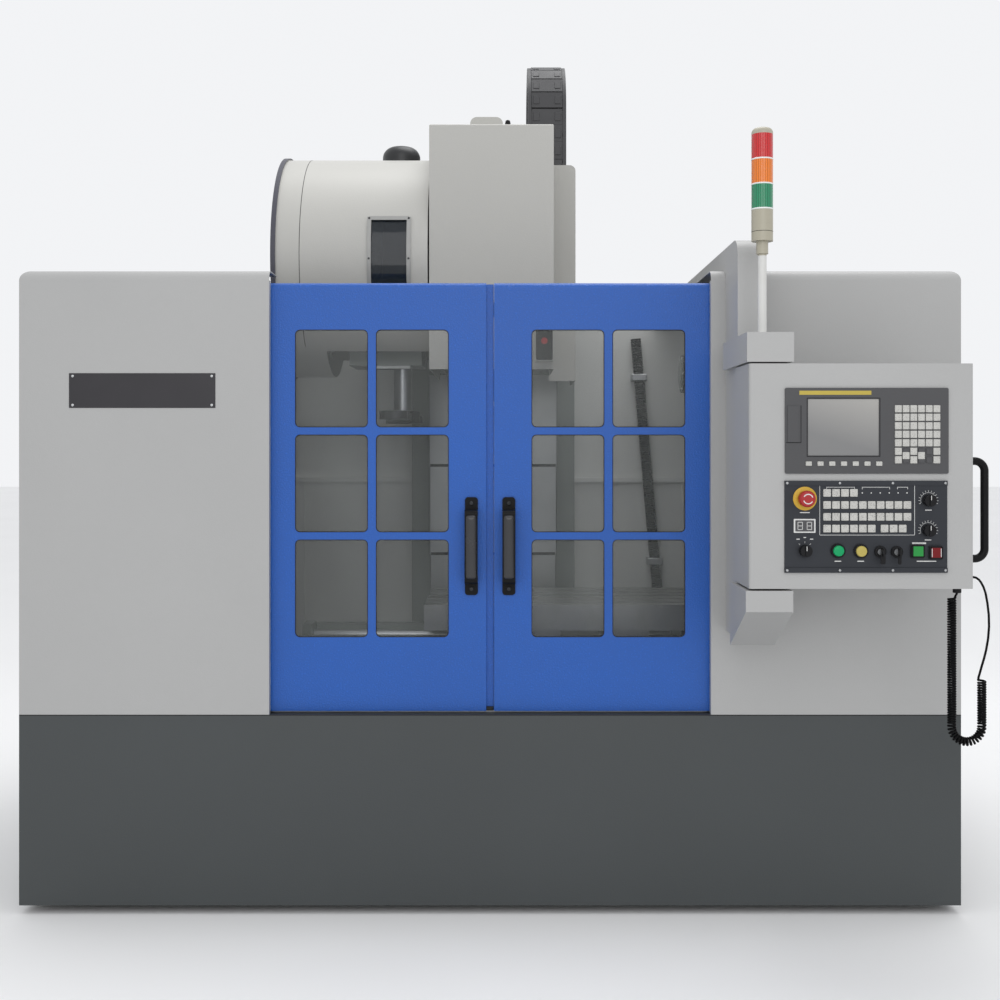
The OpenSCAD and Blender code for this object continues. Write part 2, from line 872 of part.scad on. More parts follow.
module rear_splash_panels() color([0.66, 0.67, 0.66]) place() {
    v = guard_back - sheet;
    for (s = [-1, 1])
        difference() {
            union() {
                block(span(s, column_x, half_w), [v, guard_back], [skirt_top, panel_top]);
                block(span(s, column_x, half_w - sheet), [v - splash_rib, v],
                    [splash_bend_z, splash_bend_z + splash_rib]);
                for (x = splash_step_x)
                    block([s * x - splash_step[0], s * x + splash_step[0]], [v - splash_step[1], v],
                        [skirt_top, splash_bend_z]);
            }
            block([bracket_x0 - bracket_gap, -column_x + over], [v - 2 * over, guard_back + over],
                [bracket_z[0] - bracket_gap, panel_top + over]);
        }
}

module door_rails() color([0.6, 0.61, 0.62]) place() {
    block([-half_w + sheet, half_w - sheet], [bar_v, bar_v + bar_t], [bar_z0, bar_z1]);
    block([-half_w + sheet, half_w - sheet], [track_v, track_v + track_t],
        [skirt_top, skirt_top + track_h]);
}

module pendant_pillar() color([0.68, 0.68, 0.69]) place() {
    difference() {
        union() {
            along_x(pillar_x[0], pillar_x[1])
                bend_area([pillar_v, 0], [pillar_z0, pillar_top], pillar_round);
            block(pillar_x, [0, guard_back - sheet], [beam_z0, pillar_top]);
        }
        along_x(pillar_x[0] + sheet, pillar_x[1] - sheet)
            bend_area([pillar_v + sheet, -sheet], [pillar_z0 + sheet, pillar_top - sheet],
                pillar_round - sheet);
        block([pillar_x[0] + sheet, pillar_x[1] - sheet], [-2 * sheet, guard_back - 2 * sheet],
            [beam_z0 + sheet, pillar_top - sheet]);
    }
    block(arm_top_x, [pendant_v, pillar_v], arm_top_z);
    block([arm_top_x[0], pillar_x[0]], [pillar_v, pillar_low_v], arm_top_z);
    post([pivot_x, pivot_v], washer_d, [pendant_z1 + slide_gap, arm_top_z[0]]);
    post([pivot_x, pivot_v], pin_d, [pendant_z1 - pin_l, arm_top_z[0]]);
    along_x(arm_low_x[0], arm_low_x[1])
        polygon([[pendant_v, arm_low_z[1]], [pillar_v, arm_low_z[0]], [pillar_v, arm_low_z[2]],
            [pendant_v, arm_low_z[2]]]);
    post([pivot_x, pivot_v], washer_d, [arm_low_z[2], pendant_z0 - slide_gap]);
    post([pivot_x, pivot_v], pin_d, [arm_low_z[2], pendant_z0 + pin_l]);
}

module signal_tower() color([0.82, 0.8, 0.72]) place() {
    at = [pivot_x, pivot_v];
    z1 = tower_z + tower_foot;
    z2 = z1 + pole_h;
    z3 = z2 + collar_h;
    top = lens_z + 3 * lens_h;
    post(at, tower_foot_d, [tower_z, z1]);
    post(at, pole_d, [z1, z2]);
    post(at, collar_d, [z2, z3]);
    post(at, lens_d, [z3, lens_z]);
    post(at, tower_rod_d, [lens_z, top]);
    translate([at[0], at[1], top])
        rotate_extrude()
            intersection() {
                arch_area([-lens_d / 2, lens_d / 2], [0, tower_cap_h],
                    tower_cap_h - tower_cap_flat);
                area([0, lens_d], [0, tower_cap_h]);
            }
}

module green_lens() color([0.1, 0.6, 0.3, 0.7]) place() lens(0);
module amber_lens() color([0.95, 0.65, 0.1, 0.7]) place() lens(1);
module red_lens() color([0.85, 0.1, 0.08, 0.7]) place() lens(2);

// Drum over the magazine: shell, flat cut for the arm, curved window with a raised frame

module window_sector(r0, r1, grow)
    intersection() {
        difference() {
            rod_x([drum_v, drum_z], 2 * r1, [pane_x[0] - grow, pane_x[1] + grow]);
            rod_x([drum_v, drum_z], 2 * r0, [pane_x[0] - grow - over, pane_x[1] + grow + over]);
        }
        block([pane_x[0] - grow, pane_x[1] + grow], [drum_v - drum_r - over, drum_v - drum_r / 2],
            [pane_z[0] - grow, pane_z[1] + grow]);
    }

module magazine_cover() color([0.78, 0.77, 0.75]) place() {
    axis = [drum_v, drum_z];
    difference() {
        union() {
            rod_x(axis, 2 * drum_r, [drum_x0, drum_x1]);
            rod_x(axis, 2 * (drum_r + trim_t), [drum_x0, drum_x0 + trim_w]);
            window_sector(drum_r - sheet / 2, drum_r + sheet, pane_frame);
        }
        rod_x(axis, 2 * (drum_r - sheet), [drum_x0 + sheet, drum_x1 - sheet]);
        block([drum_cut_x, drum_x1 + over], [drum_v - 2 * drum_r, drum_v + 2 * drum_r],
            [drum_z - 2 * drum_r, drum_cut_z]);
        block([pane_x[0], pane_x[1]], [drum_v - drum_r - 2 * over, drum_v - drum_r / 2], pane_z);
        post([changer_motor_x, changer_motor_v], changer_motor_d + 2 * sheet,
            [drum_z, drum_z + 2 * drum_r]);
        block([bracket_x0 - bracket_gap, -column_x + bracket_gap],
            [drum_v + drum_r / 2, drum_v + drum_r + over],
            [bracket_z[0] - bracket_gap, bracket_z[1] + bracket_gap]);
    }
}

module magazine_window() color([0.15, 0.17, 0.18, 0.6]) place()
    window_sector(drum_r - sheet - pane_t, drum_r - sheet - rail_gap, pane_frame / 2);

module changer_gearbox() color([0.5, 0.52, 0.5]) place() {
    difference() {
        block(gearbox_x, gearbox_v, gearbox_z);
        post([arm_x, arm_v], arm_shaft_d + 2 * run_fit, [gearbox_z[0] - over, shaft_bore_z]);
    }
    block([bracket_x0, -column_x], bracket_v, bracket_z);
    block([drum_tie_x, drum_x1 - sheet], drum_tie_v, drum_tie_z);
    block([gearbox_x[0], hanger_x], [drum_v - axle_d, drum_v + axle_d], [gearbox_z[1], hanger_z]);
    rod_x([drum_v, drum_z], axle_d, axle_x);
}

module changer_motor() color([0.12, 0.12, 0.13]) place()
    translate([changer_motor_x, changer_motor_v, gearbox_z[1]])
        rotate_extrude()
            intersection() {
                arch_area([-changer_motor_d / 2, changer_motor_d / 2],
                    [0, changer_motor_top - gearbox_z[1]], changer_motor_round);
                area([0, changer_motor_d], [0, changer_motor_top]);
            }

module work_lamp() color([0.2, 0.21, 0.22]) place() {
    at = [lamp_v, lamp_z];
    rod_x(at, lamp_d[0], [lamp_x[0], lamp_x[1]]);
    rod_x(at, lamp_d[1], [lamp_x[1], lamp_x[2]]);
    block([lamp_x[2], lamp_x[3]], [lamp_v - lamp_arm, lamp_v + lamp_arm], [lamp_arm_z, beam_z0]);
}

module wall_conduit() color([0.08, 0.08, 0.09]) place() {
    foot = [conduit_foot[0], conduit_v, conduit_foot[1]];
    head = [conduit_head[0], conduit_v, conduit_head[1]];
    run = norm(head - foot);
    lean = atan2(head[0] - foot[0], head[2] - foot[2]);
    translate(foot) rotate([0, lean, 0]) cylinder(d = conduit_d, h = run);
    for (k = [0.15, 0.85])
        translate(foot + k * (head - foot))
            translate([-conduit_clip[0] / 2, 0, -conduit_clip[1] / 2])
                cube([conduit_clip[0], guard_back - sheet - conduit_v, conduit_clip[1]]);
}

module electrical_cabinet() color([0.68, 0.69, 0.69]) place() {
    x = cabinet_x;
    z = cabinet_z;
    difference() {
        block([-x, x], [cabinet_v0, cabinet_v1], z);
        block([-x + sheet, x - sheet], [cabinet_v0 + sheet, cabinet_v1 + over],
            [z[0] + sheet, z[1] - sheet]);
    }
    v = cabinet_v0 + sheet;
    for (k = [0:drive_n - 1])
        block([drive_x0 + k * drive_pitch, drive_x0 + k * drive_pitch + drive_w],
            [v, cabinet_v0 + drive_d], drive_z);
    block([drive_x0, -drive_x0], [v, cabinet_v0 + rail_box_d], rail_box_z);
    block(transformer_x, [v, cabinet_v0 + transformer_d], [z[0] + sheet, transformer_z]);
}

module cabinet_door() color([0.68, 0.69, 0.69]) place() {
    x = cabinet_x;
    z = cabinet_z;
    difference() {
        block([-x, x], [cabinet_v1 + slide_gap, cabinet_v1 + cabinet_door_t], z);
        block([-x + sheet, x - sheet], [cabinet_v1 - over, cabinet_v1 + cabinet_door_t - sheet],
            [z[0] + sheet, z[1] - sheet]);
    }
    back = cabinet_v1 + cabinet_door_t;
    block(latch_x, [back, back + latch_t], latch_z);
    for (h = hinge_z)
        post([-x, back], hinge_d, [h - hinge_h / 2, h + hinge_h / 2]);
}

module axis_motors() color([0.13, 0.13, 0.14]) place() {
    w = motor_w / 2;
    f = w + motor_flange[0];
    c = w - motor_cap[0];
    z0 = column_top + z_stand[2];
    block([-w, w], [y_motor_v, bed_v0 - motor_flange[1]], [y_screw_z - w, y_screw_z + w]);
    block([-f, f], [bed_v0 - motor_flange[1], bed_v0], [y_screw_z - f, y_screw_z + f]);
    block([-w, w], [z_screw_v - w, z_screw_v + w], [z0, z0 + motor_h]);
    block([-c, c], [z_screw_v - c, z_screw_v + c], [z0 + motor_h, z0 + motor_h + motor_cap[1]]);
}

// Telescopic covers drawn as overlapping steps
module y_way_cover() color([0.62, 0.63, 0.64]) place() {
    panel_l = (spindle_v - saddle_d / 2 - y_cover_v) / 3;
    for (k = [0:2]) {
        x = y_cover_x + y_cover_step[0] * k;
        z = y_cover_z + y_cover_step[1] * k;
        v = y_cover_v + panel_l * k;
        block([-x, x], [v, v + panel_l + (k < 2 ? y_cover_lap : 0)], [z, z + sheet]);
        block([-x, x], [v, v + sheet], [z - y_cover_lip, z]);
        for (s = [-1, 1])
            block([s * x - sheet / 2, s * x + sheet / 2], [v, v + panel_l], [z - y_cover_skirt, z]);
    }
}

module z_way_cover() color([0.55, 0.56, 0.56]) place() {
    for (k = [0:3]) {
        x = z_cover_x + z_cover_step[0] * k;
        v = head_back + z_cover_v - z_cover_step[1] * k;
        low = z_cover_edges[k] - (k > 0 ? z_cover_lap : 0);
        block([-x, x], [v, v + sheet], [low, z_cover_edges[k + 1]]);
        if (k > 0) block([-x, x], [v + sheet, v + z_cover_step[1]], [low, z_cover_edges[k]]);
    }
}

// Doors

module left_door() color([0.22, 0.4, 0.7]) place() {
    door_pan();
    block([-door_edge_x - sheet, door_edge_x - lip_gap], [lip_v, lip_v + sheet],
        [door_z0, door_z1 - sheet - lip_gap]);
}

module left_door_glass() color([0.5, 0.56, 0.55, 0.4]) place() door_pane();
module left_door_handle() color([0.06, 0.06, 0.07]) place() door_pull();
module right_door() color([0.22, 0.4, 0.7]) place() mirror([1, 0, 0]) door_pan();
module right_door_glass() color([0.5, 0.56, 0.55, 0.4]) place() mirror([1, 0, 0]) door_pane();
module right_door_handle() color([0.06, 0.06, 0.07]) place() mirror([1, 0, 0]) door_pull();

// Axes

module saddle() color([0.47, 0.49, 0.48]) place() {
    v = [spindle_v - saddle_d / 2, spindle_v + saddle_d / 2];
    difference() {
        block([-saddle_x, saddle_x], v, [saddle_z0, saddle_z1]);
        block([-saddle_x - over, saddle_x + over],
            [spindle_v - saddle_groove / 2, spindle_v + saddle_groove / 2],
            [x_screw_z - saddle_groove_drop, saddle_z1 + over]);
    }
    for (s = [-1, 1]) {
        block([-x_rail_x, x_rail_x],
            [spindle_v + s * x_rail_dv - rail_w / 2, spindle_v + s * x_rail_dv + rail_w / 2],
            [saddle_z1, saddle_z1 + rail_h]);
        difference() {
            block(span(s, saddle_x, saddle_x - boss_t),
                [spindle_v - saddle_groove / 2, spindle_v + saddle_groove / 2],
                [x_screw_z - saddle_groove_drop, table_z0 - boss_gap]);
            rod_x([spindle_v, x_screw_z], x_screw_d + 2 * run_fit, [-saddle_x - over, saddle_x + over]);
        }
    }
    for (x = [-y_rail_x, y_rail_x], dv = [-y_block_dv, y_block_dv]) y_carriage(x, spindle_v + dv);
    difference() {
        block([-nut_x, nut_x], [spindle_v - nut_l / 2, spindle_v + nut_l / 2],
            [y_screw_z - nut_drop, saddle_z0]);
        rod_v([0, y_screw_z], y_screw_d + 2 * run_fit, [spindle_v - nut_l, spindle_v + nut_l]);
    }
}

module x_motor() color([0.13, 0.13, 0.14]) place() {
    w = x_motor_w / 2;
    block([saddle_x, saddle_x + x_motor_l], [spindle_v - w, spindle_v + w],
        [x_screw_z - w, x_screw_z + w]);
}

module table() color([0.5, 0.52, 0.52]) place() {
    x = [table_x - table_l / 2, table_x + table_l / 2];
    difference() {
        block(x, [spindle_v - table_w / 2, spindle_v + table_w / 2], [table_z0, table_z1]);
        for (k = [0:slot_n - 1]) {
            v = spindle_v + (k - (slot_n - 1) / 2) * slot_pitch;
            block([x[0] - over, x[1] + over], [v - slot_w / 2, v + slot_w / 2],
                [table_z1 - slot_depth, table_z1 + over]);
            block([x[0] - over, x[1] + over], [v - slot_t_w / 2, v + slot_t_w / 2],
                [table_z1 - slot_depth, table_z1 - slot_depth + slot_t_h]);
        }
    }
    for (dx = [-table_block_dx, table_block_dx], s = [-1, 1])
        x_carriage(table_x + dx, spindle_v + s * x_rail_dv);
    difference() {
        block([table_x - nut_x, table_x + nut_x], [spindle_v - nut_l / 2, spindle_v + nut_l / 2],
            [x_screw_z - nut_drop, table_z0]);
        rod_x([spindle_v, x_screw_z], x_screw_d + 2 * run_fit, [table_x - nut_l, table_x + nut_l]);
    }
}

module x_screw() color([0.6, 0.61, 0.62]) place()
    rod_x([spindle_v, x_screw_z], x_screw_d, [-saddle_x - screw_end, saddle_x - slide_gap]);

module y_screw() color([0.6, 0.61, 0.62]) place()
    rod_v([0, y_screw_z], y_screw_d, [bed_v0 + slide_gap, y_rail_v[1] + screw_end]);

module z_screw() color([0.6, 0.61, 0.62]) place()
    post([0, z_screw_v], z_screw_d, z_screw_z);

// Head

module head_casting() color([0.5, 0.52, 0.5]) place() {
    at = [0, spindle_v];
    difference() {
        union() {
            block([-plate_x, plate_x], [head_back - plate_t_back, head_back], [head_z0, plate_z1]);
            block([-head_x, head_x], [spindle_v, head_back - plate_t_back / 2], [head_z0, head_z1]);
            post(at, 2 * head_x, [head_z0, head_z1]);
            post(at, quill_d, [nose_z + nose_h, head_z0]);
            post(at, nose_d, [nose_z, nose_z + nose_h]);
            for (s = [-1, 1])
                block(span(s, head_x, head_w / 2 - sheet),
                    [spindle_v + cover_lug_v[0], spindle_v + cover_lug_v[1]], cover_lug_z);
        }
        post(at, shaft_d + 2 * run_fit, [nose_z - over, head_z1 + over]);
    }
    for (x = [-z_rail_x, z_rail_x], z = z_block_z) z_carriage(x, z);
    difference() {
        block([-nut_x, nut_x], [head_back, column_v0 - z_block_gap / 2], z_nut_z);
        post([0, z_screw_v], z_screw_d + 2 * run_fit, [z_nut_z[0] - over, z_nut_z[1] + over]);
    }
}

module head_cover() color([0.69, 0.69, 0.68]) place() {
    x = head_w / 2;
    difference() {
        union() {
            difference() {
                union() {
                    intersection() {
                        along_v(cover_v0, cover_v1)
                            arch_area([-x, x], [cover_z0, cover_z1], cover_edge);
                        along_x(-x, x)
                            bend_area([cover_v0, cover_v1], [cover_z0, cover_z1], cover_edge);
                    }
                    along_v(side_v, cover_v1)
                        arch_area([x - side_lap, side_x], [side_z0, side_z1], cover_round);
                }
                along_v(cover_v0 + sheet, cover_v1 + over)
                    arch_area([-x + sheet, x - sheet], [side_z0 - over, cover_z1 - sheet],
                        cover_edge - sheet / 2);
                along_v(side_v + sheet, cover_v1 + over)
                    area([x - side_lap, side_x - sheet], [side_z0 - over, side_z1 - sheet - cover_round / 2]);
            }
            along_v(spindle_v + cap_v[0], spindle_v + cap_v[1])
                arch_area(cap_x, [cover_z1 - sheet, cap_top], cap_round);
            post([gland_at[0], spindle_v + gland_at[1]], gland_top_d,
                [cover_z1 - sheet, cover_z1 + gland_top]);
            block(release_x, [release_v, cover_v0], release_z);
        }
        block([chain_x - chain_w / 2 - chain_gap, chain_x + chain_w / 2 + chain_gap],
            [chain_near - chain_gap, chain_near + chain_t + chain_gap],
            [chain_end_near - chain_seat, cover_z1 + over]);
        rod_v(release_at, release_d + 2 * stem_gap, [release_v - over, release_v + release_hole]);
    }
}

module spindle_motor() color([0.14, 0.14, 0.15]) place() {
    x = spindle_motor_x;
    block([-x, x], [spindle_v - x, spindle_v + x], [head_z1, spindle_motor_top]);
    post([0, spindle_v], fan_d, [spindle_motor_top, fan_top]);
}

module tool_release_button() color([0.7, 0.08, 0.08]) place()
    rod_v(release_at, release_d, [release_v - release_out, release_v - release_out + release_l]);

module spindle_shaft() color([0.7, 0.71, 0.72]) place() {
    at = [0, spindle_v];
    face = nose_z - face_drop;
    difference() {
        union() {
            post(at, shaft_d, [face, head_z1 - boss_gap]);
            post(at, face_d, [face, nose_z - slide_gap]);
            for (s = [-1, 1])
                translate([s * dog_x - dog[0] / 2, spindle_v - dog[1] / 2, face - dog[2] + sheet]) cube(dog);
        }
        translate([0, spindle_v, face]) cylinder(d1 = taper_d[0], d2 = taper_d[1], h = taper_l);
        post(at, taper_d[0], [face - over, face]);
    }
}

// Tool changer

// Depth and height of a pot on its ring
function pot_at(k) =
    [drum_v, drum_z] + pot_ring_r * [cos(360 * k / pot_n), sin(360 * k / pot_n)];

module tool_carousel() color([0.55, 0.56, 0.57]) place() {
    difference() {
        union() {
            rod_x([drum_v, drum_z], hub_d, hub_x);
            rod_x([drum_v, drum_z], 2 * pot_ring_r, disc_x);
            for (k = [0:pot_n - 1]) rod_x(pot_at(k), pot_d, [pot_x, pot_x + pot_l]);
        }
        rod_x([drum_v, drum_z], axle_d + 2 * run_fit, [hub_x[0] - over, hub_x[1] + over]);
        for (k = [0:pot_n - 1]) rod_x(pot_at(k), pot_bore_d, [pot_x - over, pot_bore_x]);
    }
}

module changer_shaft() color([0.66, 0.67, 0.68]) place()
    post([arm_x, arm_v], arm_shaft_d, [arm_z[1], arm_shaft_z1]);

module changer_arm() color([0.2, 0.21, 0.22]) place()
    difference() {
        union() {
            post([arm_x, arm_v], arm_hub_d, [arm_z[0], arm_z[1] - slide_gap]);
            block([arm_x - arm_w / 2 + arm_thin, arm_x + arm_w / 2 - arm_thin],
                [arm_v - arm_reach + arm_inset, arm_v + arm_reach - arm_inset], blade_z);
            for (s = [-1, 1]) post([arm_x, arm_v + s * arm_reach], arm_w + 2 * jaw_lip, blade_z);
        }
        for (s = [-1, 1]) {
            v = arm_v + s * arm_reach;
            mouth = jaw_d / 2 - bracket_gap;
            post([arm_x, v], jaw_d, [arm_z[0] - over, arm_z[1] + over]);
            block([arm_x - (s > 0 ? jaw_mouth : 0), arm_x + (s > 0 ? 0 : jaw_mouth)],
                [v - mouth, v + mouth], [arm_z[0] - over, arm_z[1] + over]);
        }
    }

// Cable chain: two side plates along the loop and cross bars at every link

module cable_chain() color([0.24, 0.24, 0.25]) place() {
    x0 = chain_x - chain_w / 2;
    x1 = chain_x + chain_w / 2;
    near_n = floor((chain_c[1] - chain_end_near) / chain_pitch);
    far_n = floor((chain_c[1] - chain_end_far) / chain_pitch);
    bow = chain_r - sqrt(chain_r * chain_r - chain_lid * chain_lid / 4);
    along_x(x0, x0 + chain_plate) chain_outline();
    along_x(x1 - chain_plate, x1) chain_outline();
    along_x(x0 + chain_inset, x1 - chain_inset) {
        for (k = [0:near_n - 1])
            translate([chain_near, chain_c[1] - (k + 0.5) * chain_pitch]) chain_link(0);
        for (k = [0:far_n - 1])
            translate([chain_far + chain_t, chain_c[1] - (k + 0.5) * chain_pitch])
                mirror([1, 0]) chain_link(0);
        for (k = [0:chain_bend_n - 1])
            translate(chain_c)
                rotate(-(k + 0.5) * 180 / chain_bend_n)
                    translate([-chain_r, 0]) chain_link(bow);
    }
}

// Operator pendant

module pendant_box() color([0.7, 0.7, 0.7]) place() {
    difference() {
        along_z(pendant_z0, pendant_z1)
            round_area([pendant_x0, pendant_x1], [pendant_v, pendant_v1], pendant_edge);
        along_z(pendant_z0 + sheet, pendant_z1 - sheet)
            round_area([pendant_x0 + sheet, pendant_x1 - sheet],
                [pendant_v + sheet, pendant_v1 - sheet], pendant_edge - sheet);
        block([unit_x[0] + unit_edge, unit_x[1] - unit_edge], [pendant_v - over, pendant_v + over],
            [unit_z[0] + unit_edge, unit_z[1] - unit_edge]);
        block([plate_x0 + unit_edge, plate_x1 - unit_edge], [pendant_v - over, pendant_v + over],
            [plate_z[0] + unit_edge, plate_z[1] - unit_edge]);
        post([pivot_x, pivot_v], pin_d + 2 * run_fit, [pendant_z0 - over, pendant_z1 + over]);
    }
    post([cord_start[0], cord_v], gland_d, [pendant_z0 - gland_l, pendant_z0]);
    rod_x([cord_v, cord_end[2]], gland_d, [pendant_x1, pendant_x1 + gland_l]);
}

module pendant_handle() color([0.08, 0.08, 0.09]) place() {
    v = pendant_v + pendant_d / 2;
    for (z = tube_z) {
        rod_x([v, z], tube_d, [pendant_x1, tube_x - tube_bend]);
        rod_x([v, z], tube_foot[0] * tube_d, [pendant_x1, pendant_x1 + tube_foot[1]]);
    }
    post([tube_x, v], tube_d, [tube_z[0] + tube_bend, tube_z[1] - tube_bend]);
    for (s = [0, 1])
        translate([tube_x - tube_bend, v, s == 0 ? tube_z[0] + tube_bend : tube_z[1] - tube_bend])
            rotate([90, 0, 0])
                rotate([0, 0, s == 0 ? -90 : 0])
                    rotate_extrude(angle = 90) translate([tube_bend, 0]) circle(d = tube_d);
}

module display_unit() color([0.29, 0.29, 0.3]) place() {
    v = pendant_v - unit_t;
    in = unit_edge + slide_gap;
    difference() {
        union() {
            along_v(v, pendant_v) round_area(unit_x, unit_z, unit_round);
            block([unit_x[0] + in, unit_x[1] - in], [pendant_v, pendant_v + unit_back],
                [unit_z[0] + in, unit_z[1] - in]);
        }
        block(screen_x, [v - over, v + screen_drop], screen_z);
    }
    for (k = [0:6])
        block([soft_x0 + k * soft_pitch - pad_key / 2, soft_x0 + k * soft_pitch + pad_key / 2],
            [v - key_h, v], [soft_z - soft_key_h / 2, soft_z + soft_key_h / 2]);
    for (i = [0:pad_cols - 1], j = [0:pad_rows - 1])
        block([pad_x0 + i * pad_pitch[0] - pad_key / 2, pad_x0 + i * pad_pitch[0] + pad_key / 2],
            [v - key_h, v],
            [pad_z0 + j * pad_pitch[1] - pad_key / 2, pad_z0 + j * pad_pitch[1] + pad_key / 2]);
    block(flap_x, [v - flap_t, v], flap_z);
}

module key_cap(x, z)
    block([x - key_w / 2, x + key_w / 2], [face_v - key_h, face_v], [z - key_w / 2, z + key_w / 2]);

module bezel(at, d, t)
    rod_v(at, d + 2 * bezel_w, [face_v - t, face_v]);

module operator_plate() color([0.26, 0.27, 0.29]) place() {
    rim = square_w / 2 + bezel_w;
    difference() {
        union() {
            block([plate_x0, plate_x1], [face_v, pendant_v], plate_z);
            for (z = [plate_z[0], plate_z[1] - strip_w])
                block([plate_x0, plate_x1], [face_v - strip_t, face_v], [z, z + strip_w]);
            for (row = key_rows, k = [0:row[1] - 1]) key_cap(key_x0 + k * key_pitch, row[0]);
            for (x = side_keys) key_cap(x, key_rows[3][0]);
            rod_v(estop_at, estop_disc_d, [face_v - disc_t, face_v]);
            for (at = [start_at, hold_at]) bezel(at, button_d, bezel_t);
            for (at = [left_key_at, right_key_at]) bezel(at, lock_d, bezel_t);
            for (at = [power_on_at, power_off_at])
                block([at[0] - rim, at[0] + rim], [face_v - bezel_t, face_v], [at[1] - rim, at[1] + rim]);
            block(readout_x, [face_v - disc_t, face_v], readout_z);
        }
        rod_v(estop_at, stem_d + 2 * stem_gap, [face_v - over, pendant_v + over]);
        for (at = [start_at, hold_at])
            rod_v(at, button_d + 2 * stem_gap, [face_v - over, pendant_v + over]);
        for (at = [left_key_at, right_key_at])
            rod_v(at, lock_d + 2 * run_fit, [face_v - over, pendant_v + over]);
        for (at = [mode_at, feed_at, rapid_at])
            rod_v(at, shaft_small_d + 2 * run_fit, [face_v - over, pendant_v + over]);
        for (at = [power_on_at, power_off_at])
            block([at[0] - square_w / 2 - stem_gap, at[0] + square_w / 2 + stem_gap],
                [face_v - over, pendant_v + over],
                [at[1] - square_w / 2 - stem_gap, at[1] + square_w / 2 + stem_gap]);
    }
}

module estop_button() color([0.75, 0.08, 0.07]) place()
    translate([estop_at[0], face_v, estop_at[1]])
        rotate([90, 0, 0]) {
            translate([0, 0, -estop_stem[0]]) cylinder(d = stem_d, h = estop_stem[1]);
            translate([0, 0, estop_cap_v])
                rotate_extrude()
                    intersection() {
                        arch_area([-estop_d / 2, estop_d / 2], [0, estop_reach - estop_cap_v], estop_round);
                        area([0, estop_d], [0, estop_reach]);
                    }
        }

module start_button() color([0.1, 0.5, 0.2]) place() push_button(start_at);
module hold_button() color([0.85, 0.7, 0.1]) place() push_button(hold_at);
module power_on_button() color([0.1, 0.5, 0.2]) place() square_button(power_on_at);
module power_off_button() color([0.7, 0.1, 0.1]) place() square_button(power_off_at);
module mode_dial() color([0.1, 0.1, 0.11]) place() knob(mode_at);
module feed_dial() color([0.1, 0.1, 0.11]) place() knob(feed_at);
module spindle_dial() color([0.1, 0.1, 0.11]) place() knob(rapid_at);
module left_key_switch() color([0.7, 0.7, 0.7]) place() key_switch(left_key_at);
module right_key_switch() color([0.7, 0.7, 0.7]) place() key_switch(right_key_at);
module handwheel_cord() color([0.08, 0.08, 0.09]) place() swept_tube(cord_points);

machine_bed();
levelling_feet();
base_skirt();
column();
left_wing();
right_wing();
rear_splash_panels();
door_rails();
pendant_pillar();
signal_tower();
green_lens();
amber_lens();
red_lens();
magazine_cover();
magazine_window();
changer_gearbox();
changer_motor();
work_lamp();
wall_conduit();
electrical_cabinet();
axis_motors();
y_way_cover();
z_way_cover();
left_door();
left_door_glass();
left_door_handle();
right_door();
right_door_glass();
right_door_handle();
saddle();
x_motor();
table();
head_casting();
head_cover();
spindle_motor();
tool_release_button();
spindle_shaft();
tool_carousel();
changer_shaft();
changer_arm();
cable_chain();
x_screw();
y_screw();
z_screw();
pendant_box();
pendant_handle();
display_unit();
operator_plate();
estop_button();
start_button();
hold_button();
power_on_button();
power_off_button();
mode_dial();
feed_dial();
spindle_dial();
left_key_switch();
right_key_switch();
handwheel_cord();
cabinet_door();
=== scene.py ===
# %% [markdown]
# # Dressing a vertical machining centre
# The construction model arrives as a fixed frame of solids that already has every main shape.
# The cells below add what a machine builder adds after the sheet metal is bent: paint, glass,
# rubber, print, screws and leads. Drawing sizes are in millimetres, and one helper turns them
# into metres.

# %% Load the frame
import bmesh
import bpy
import numpy as np
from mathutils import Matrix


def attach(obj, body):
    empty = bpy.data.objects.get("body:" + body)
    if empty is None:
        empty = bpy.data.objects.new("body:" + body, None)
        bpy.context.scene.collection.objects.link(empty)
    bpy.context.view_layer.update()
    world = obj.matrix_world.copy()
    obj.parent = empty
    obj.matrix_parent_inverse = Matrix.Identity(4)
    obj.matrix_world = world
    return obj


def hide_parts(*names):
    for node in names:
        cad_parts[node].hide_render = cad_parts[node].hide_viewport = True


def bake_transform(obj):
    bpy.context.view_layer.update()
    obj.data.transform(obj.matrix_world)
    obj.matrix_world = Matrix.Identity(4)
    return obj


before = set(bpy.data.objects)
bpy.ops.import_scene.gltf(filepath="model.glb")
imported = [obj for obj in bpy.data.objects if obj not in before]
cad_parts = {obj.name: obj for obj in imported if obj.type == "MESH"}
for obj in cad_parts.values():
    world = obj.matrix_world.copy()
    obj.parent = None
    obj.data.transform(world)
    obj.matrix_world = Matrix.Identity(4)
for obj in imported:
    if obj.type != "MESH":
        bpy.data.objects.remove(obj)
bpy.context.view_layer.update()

# %% [markdown]
# ## Where things are
# Every drawing place has three numbers: across from the spindle axis, back from the front plane of
# the guarding, and up from the floor. The same three numbers are used in the drawing of the solids,
# so a piece placed with them lands on its carrier without any fitting.

# %% Drawing place to metres
FRONT_PLANE = 880.0  # the guarding's front plane lies this far in front of the middle, in mm


def spot(across, back, up):
    """Stack across, back minus the front plane's offset, and up, then divide by 1000."""
    across, back, up = np.broadcast_arrays(across, back, up)
    return np.stack([across, back - FRONT_PLANE, up], axis=-1) / 1000.0


print("front plane of the guarding at y =", spot(0, 0, 0)[1])

# %% [markdown]
# ## Camera and studio
# The photograph was taken square to the front from chest height, about three and a half metres
# away. A level camera with a small vertical shift gives the same one-point perspective. A pale,
# even sky lights the machine softly, and two broad lamps, in front and above, give it form.

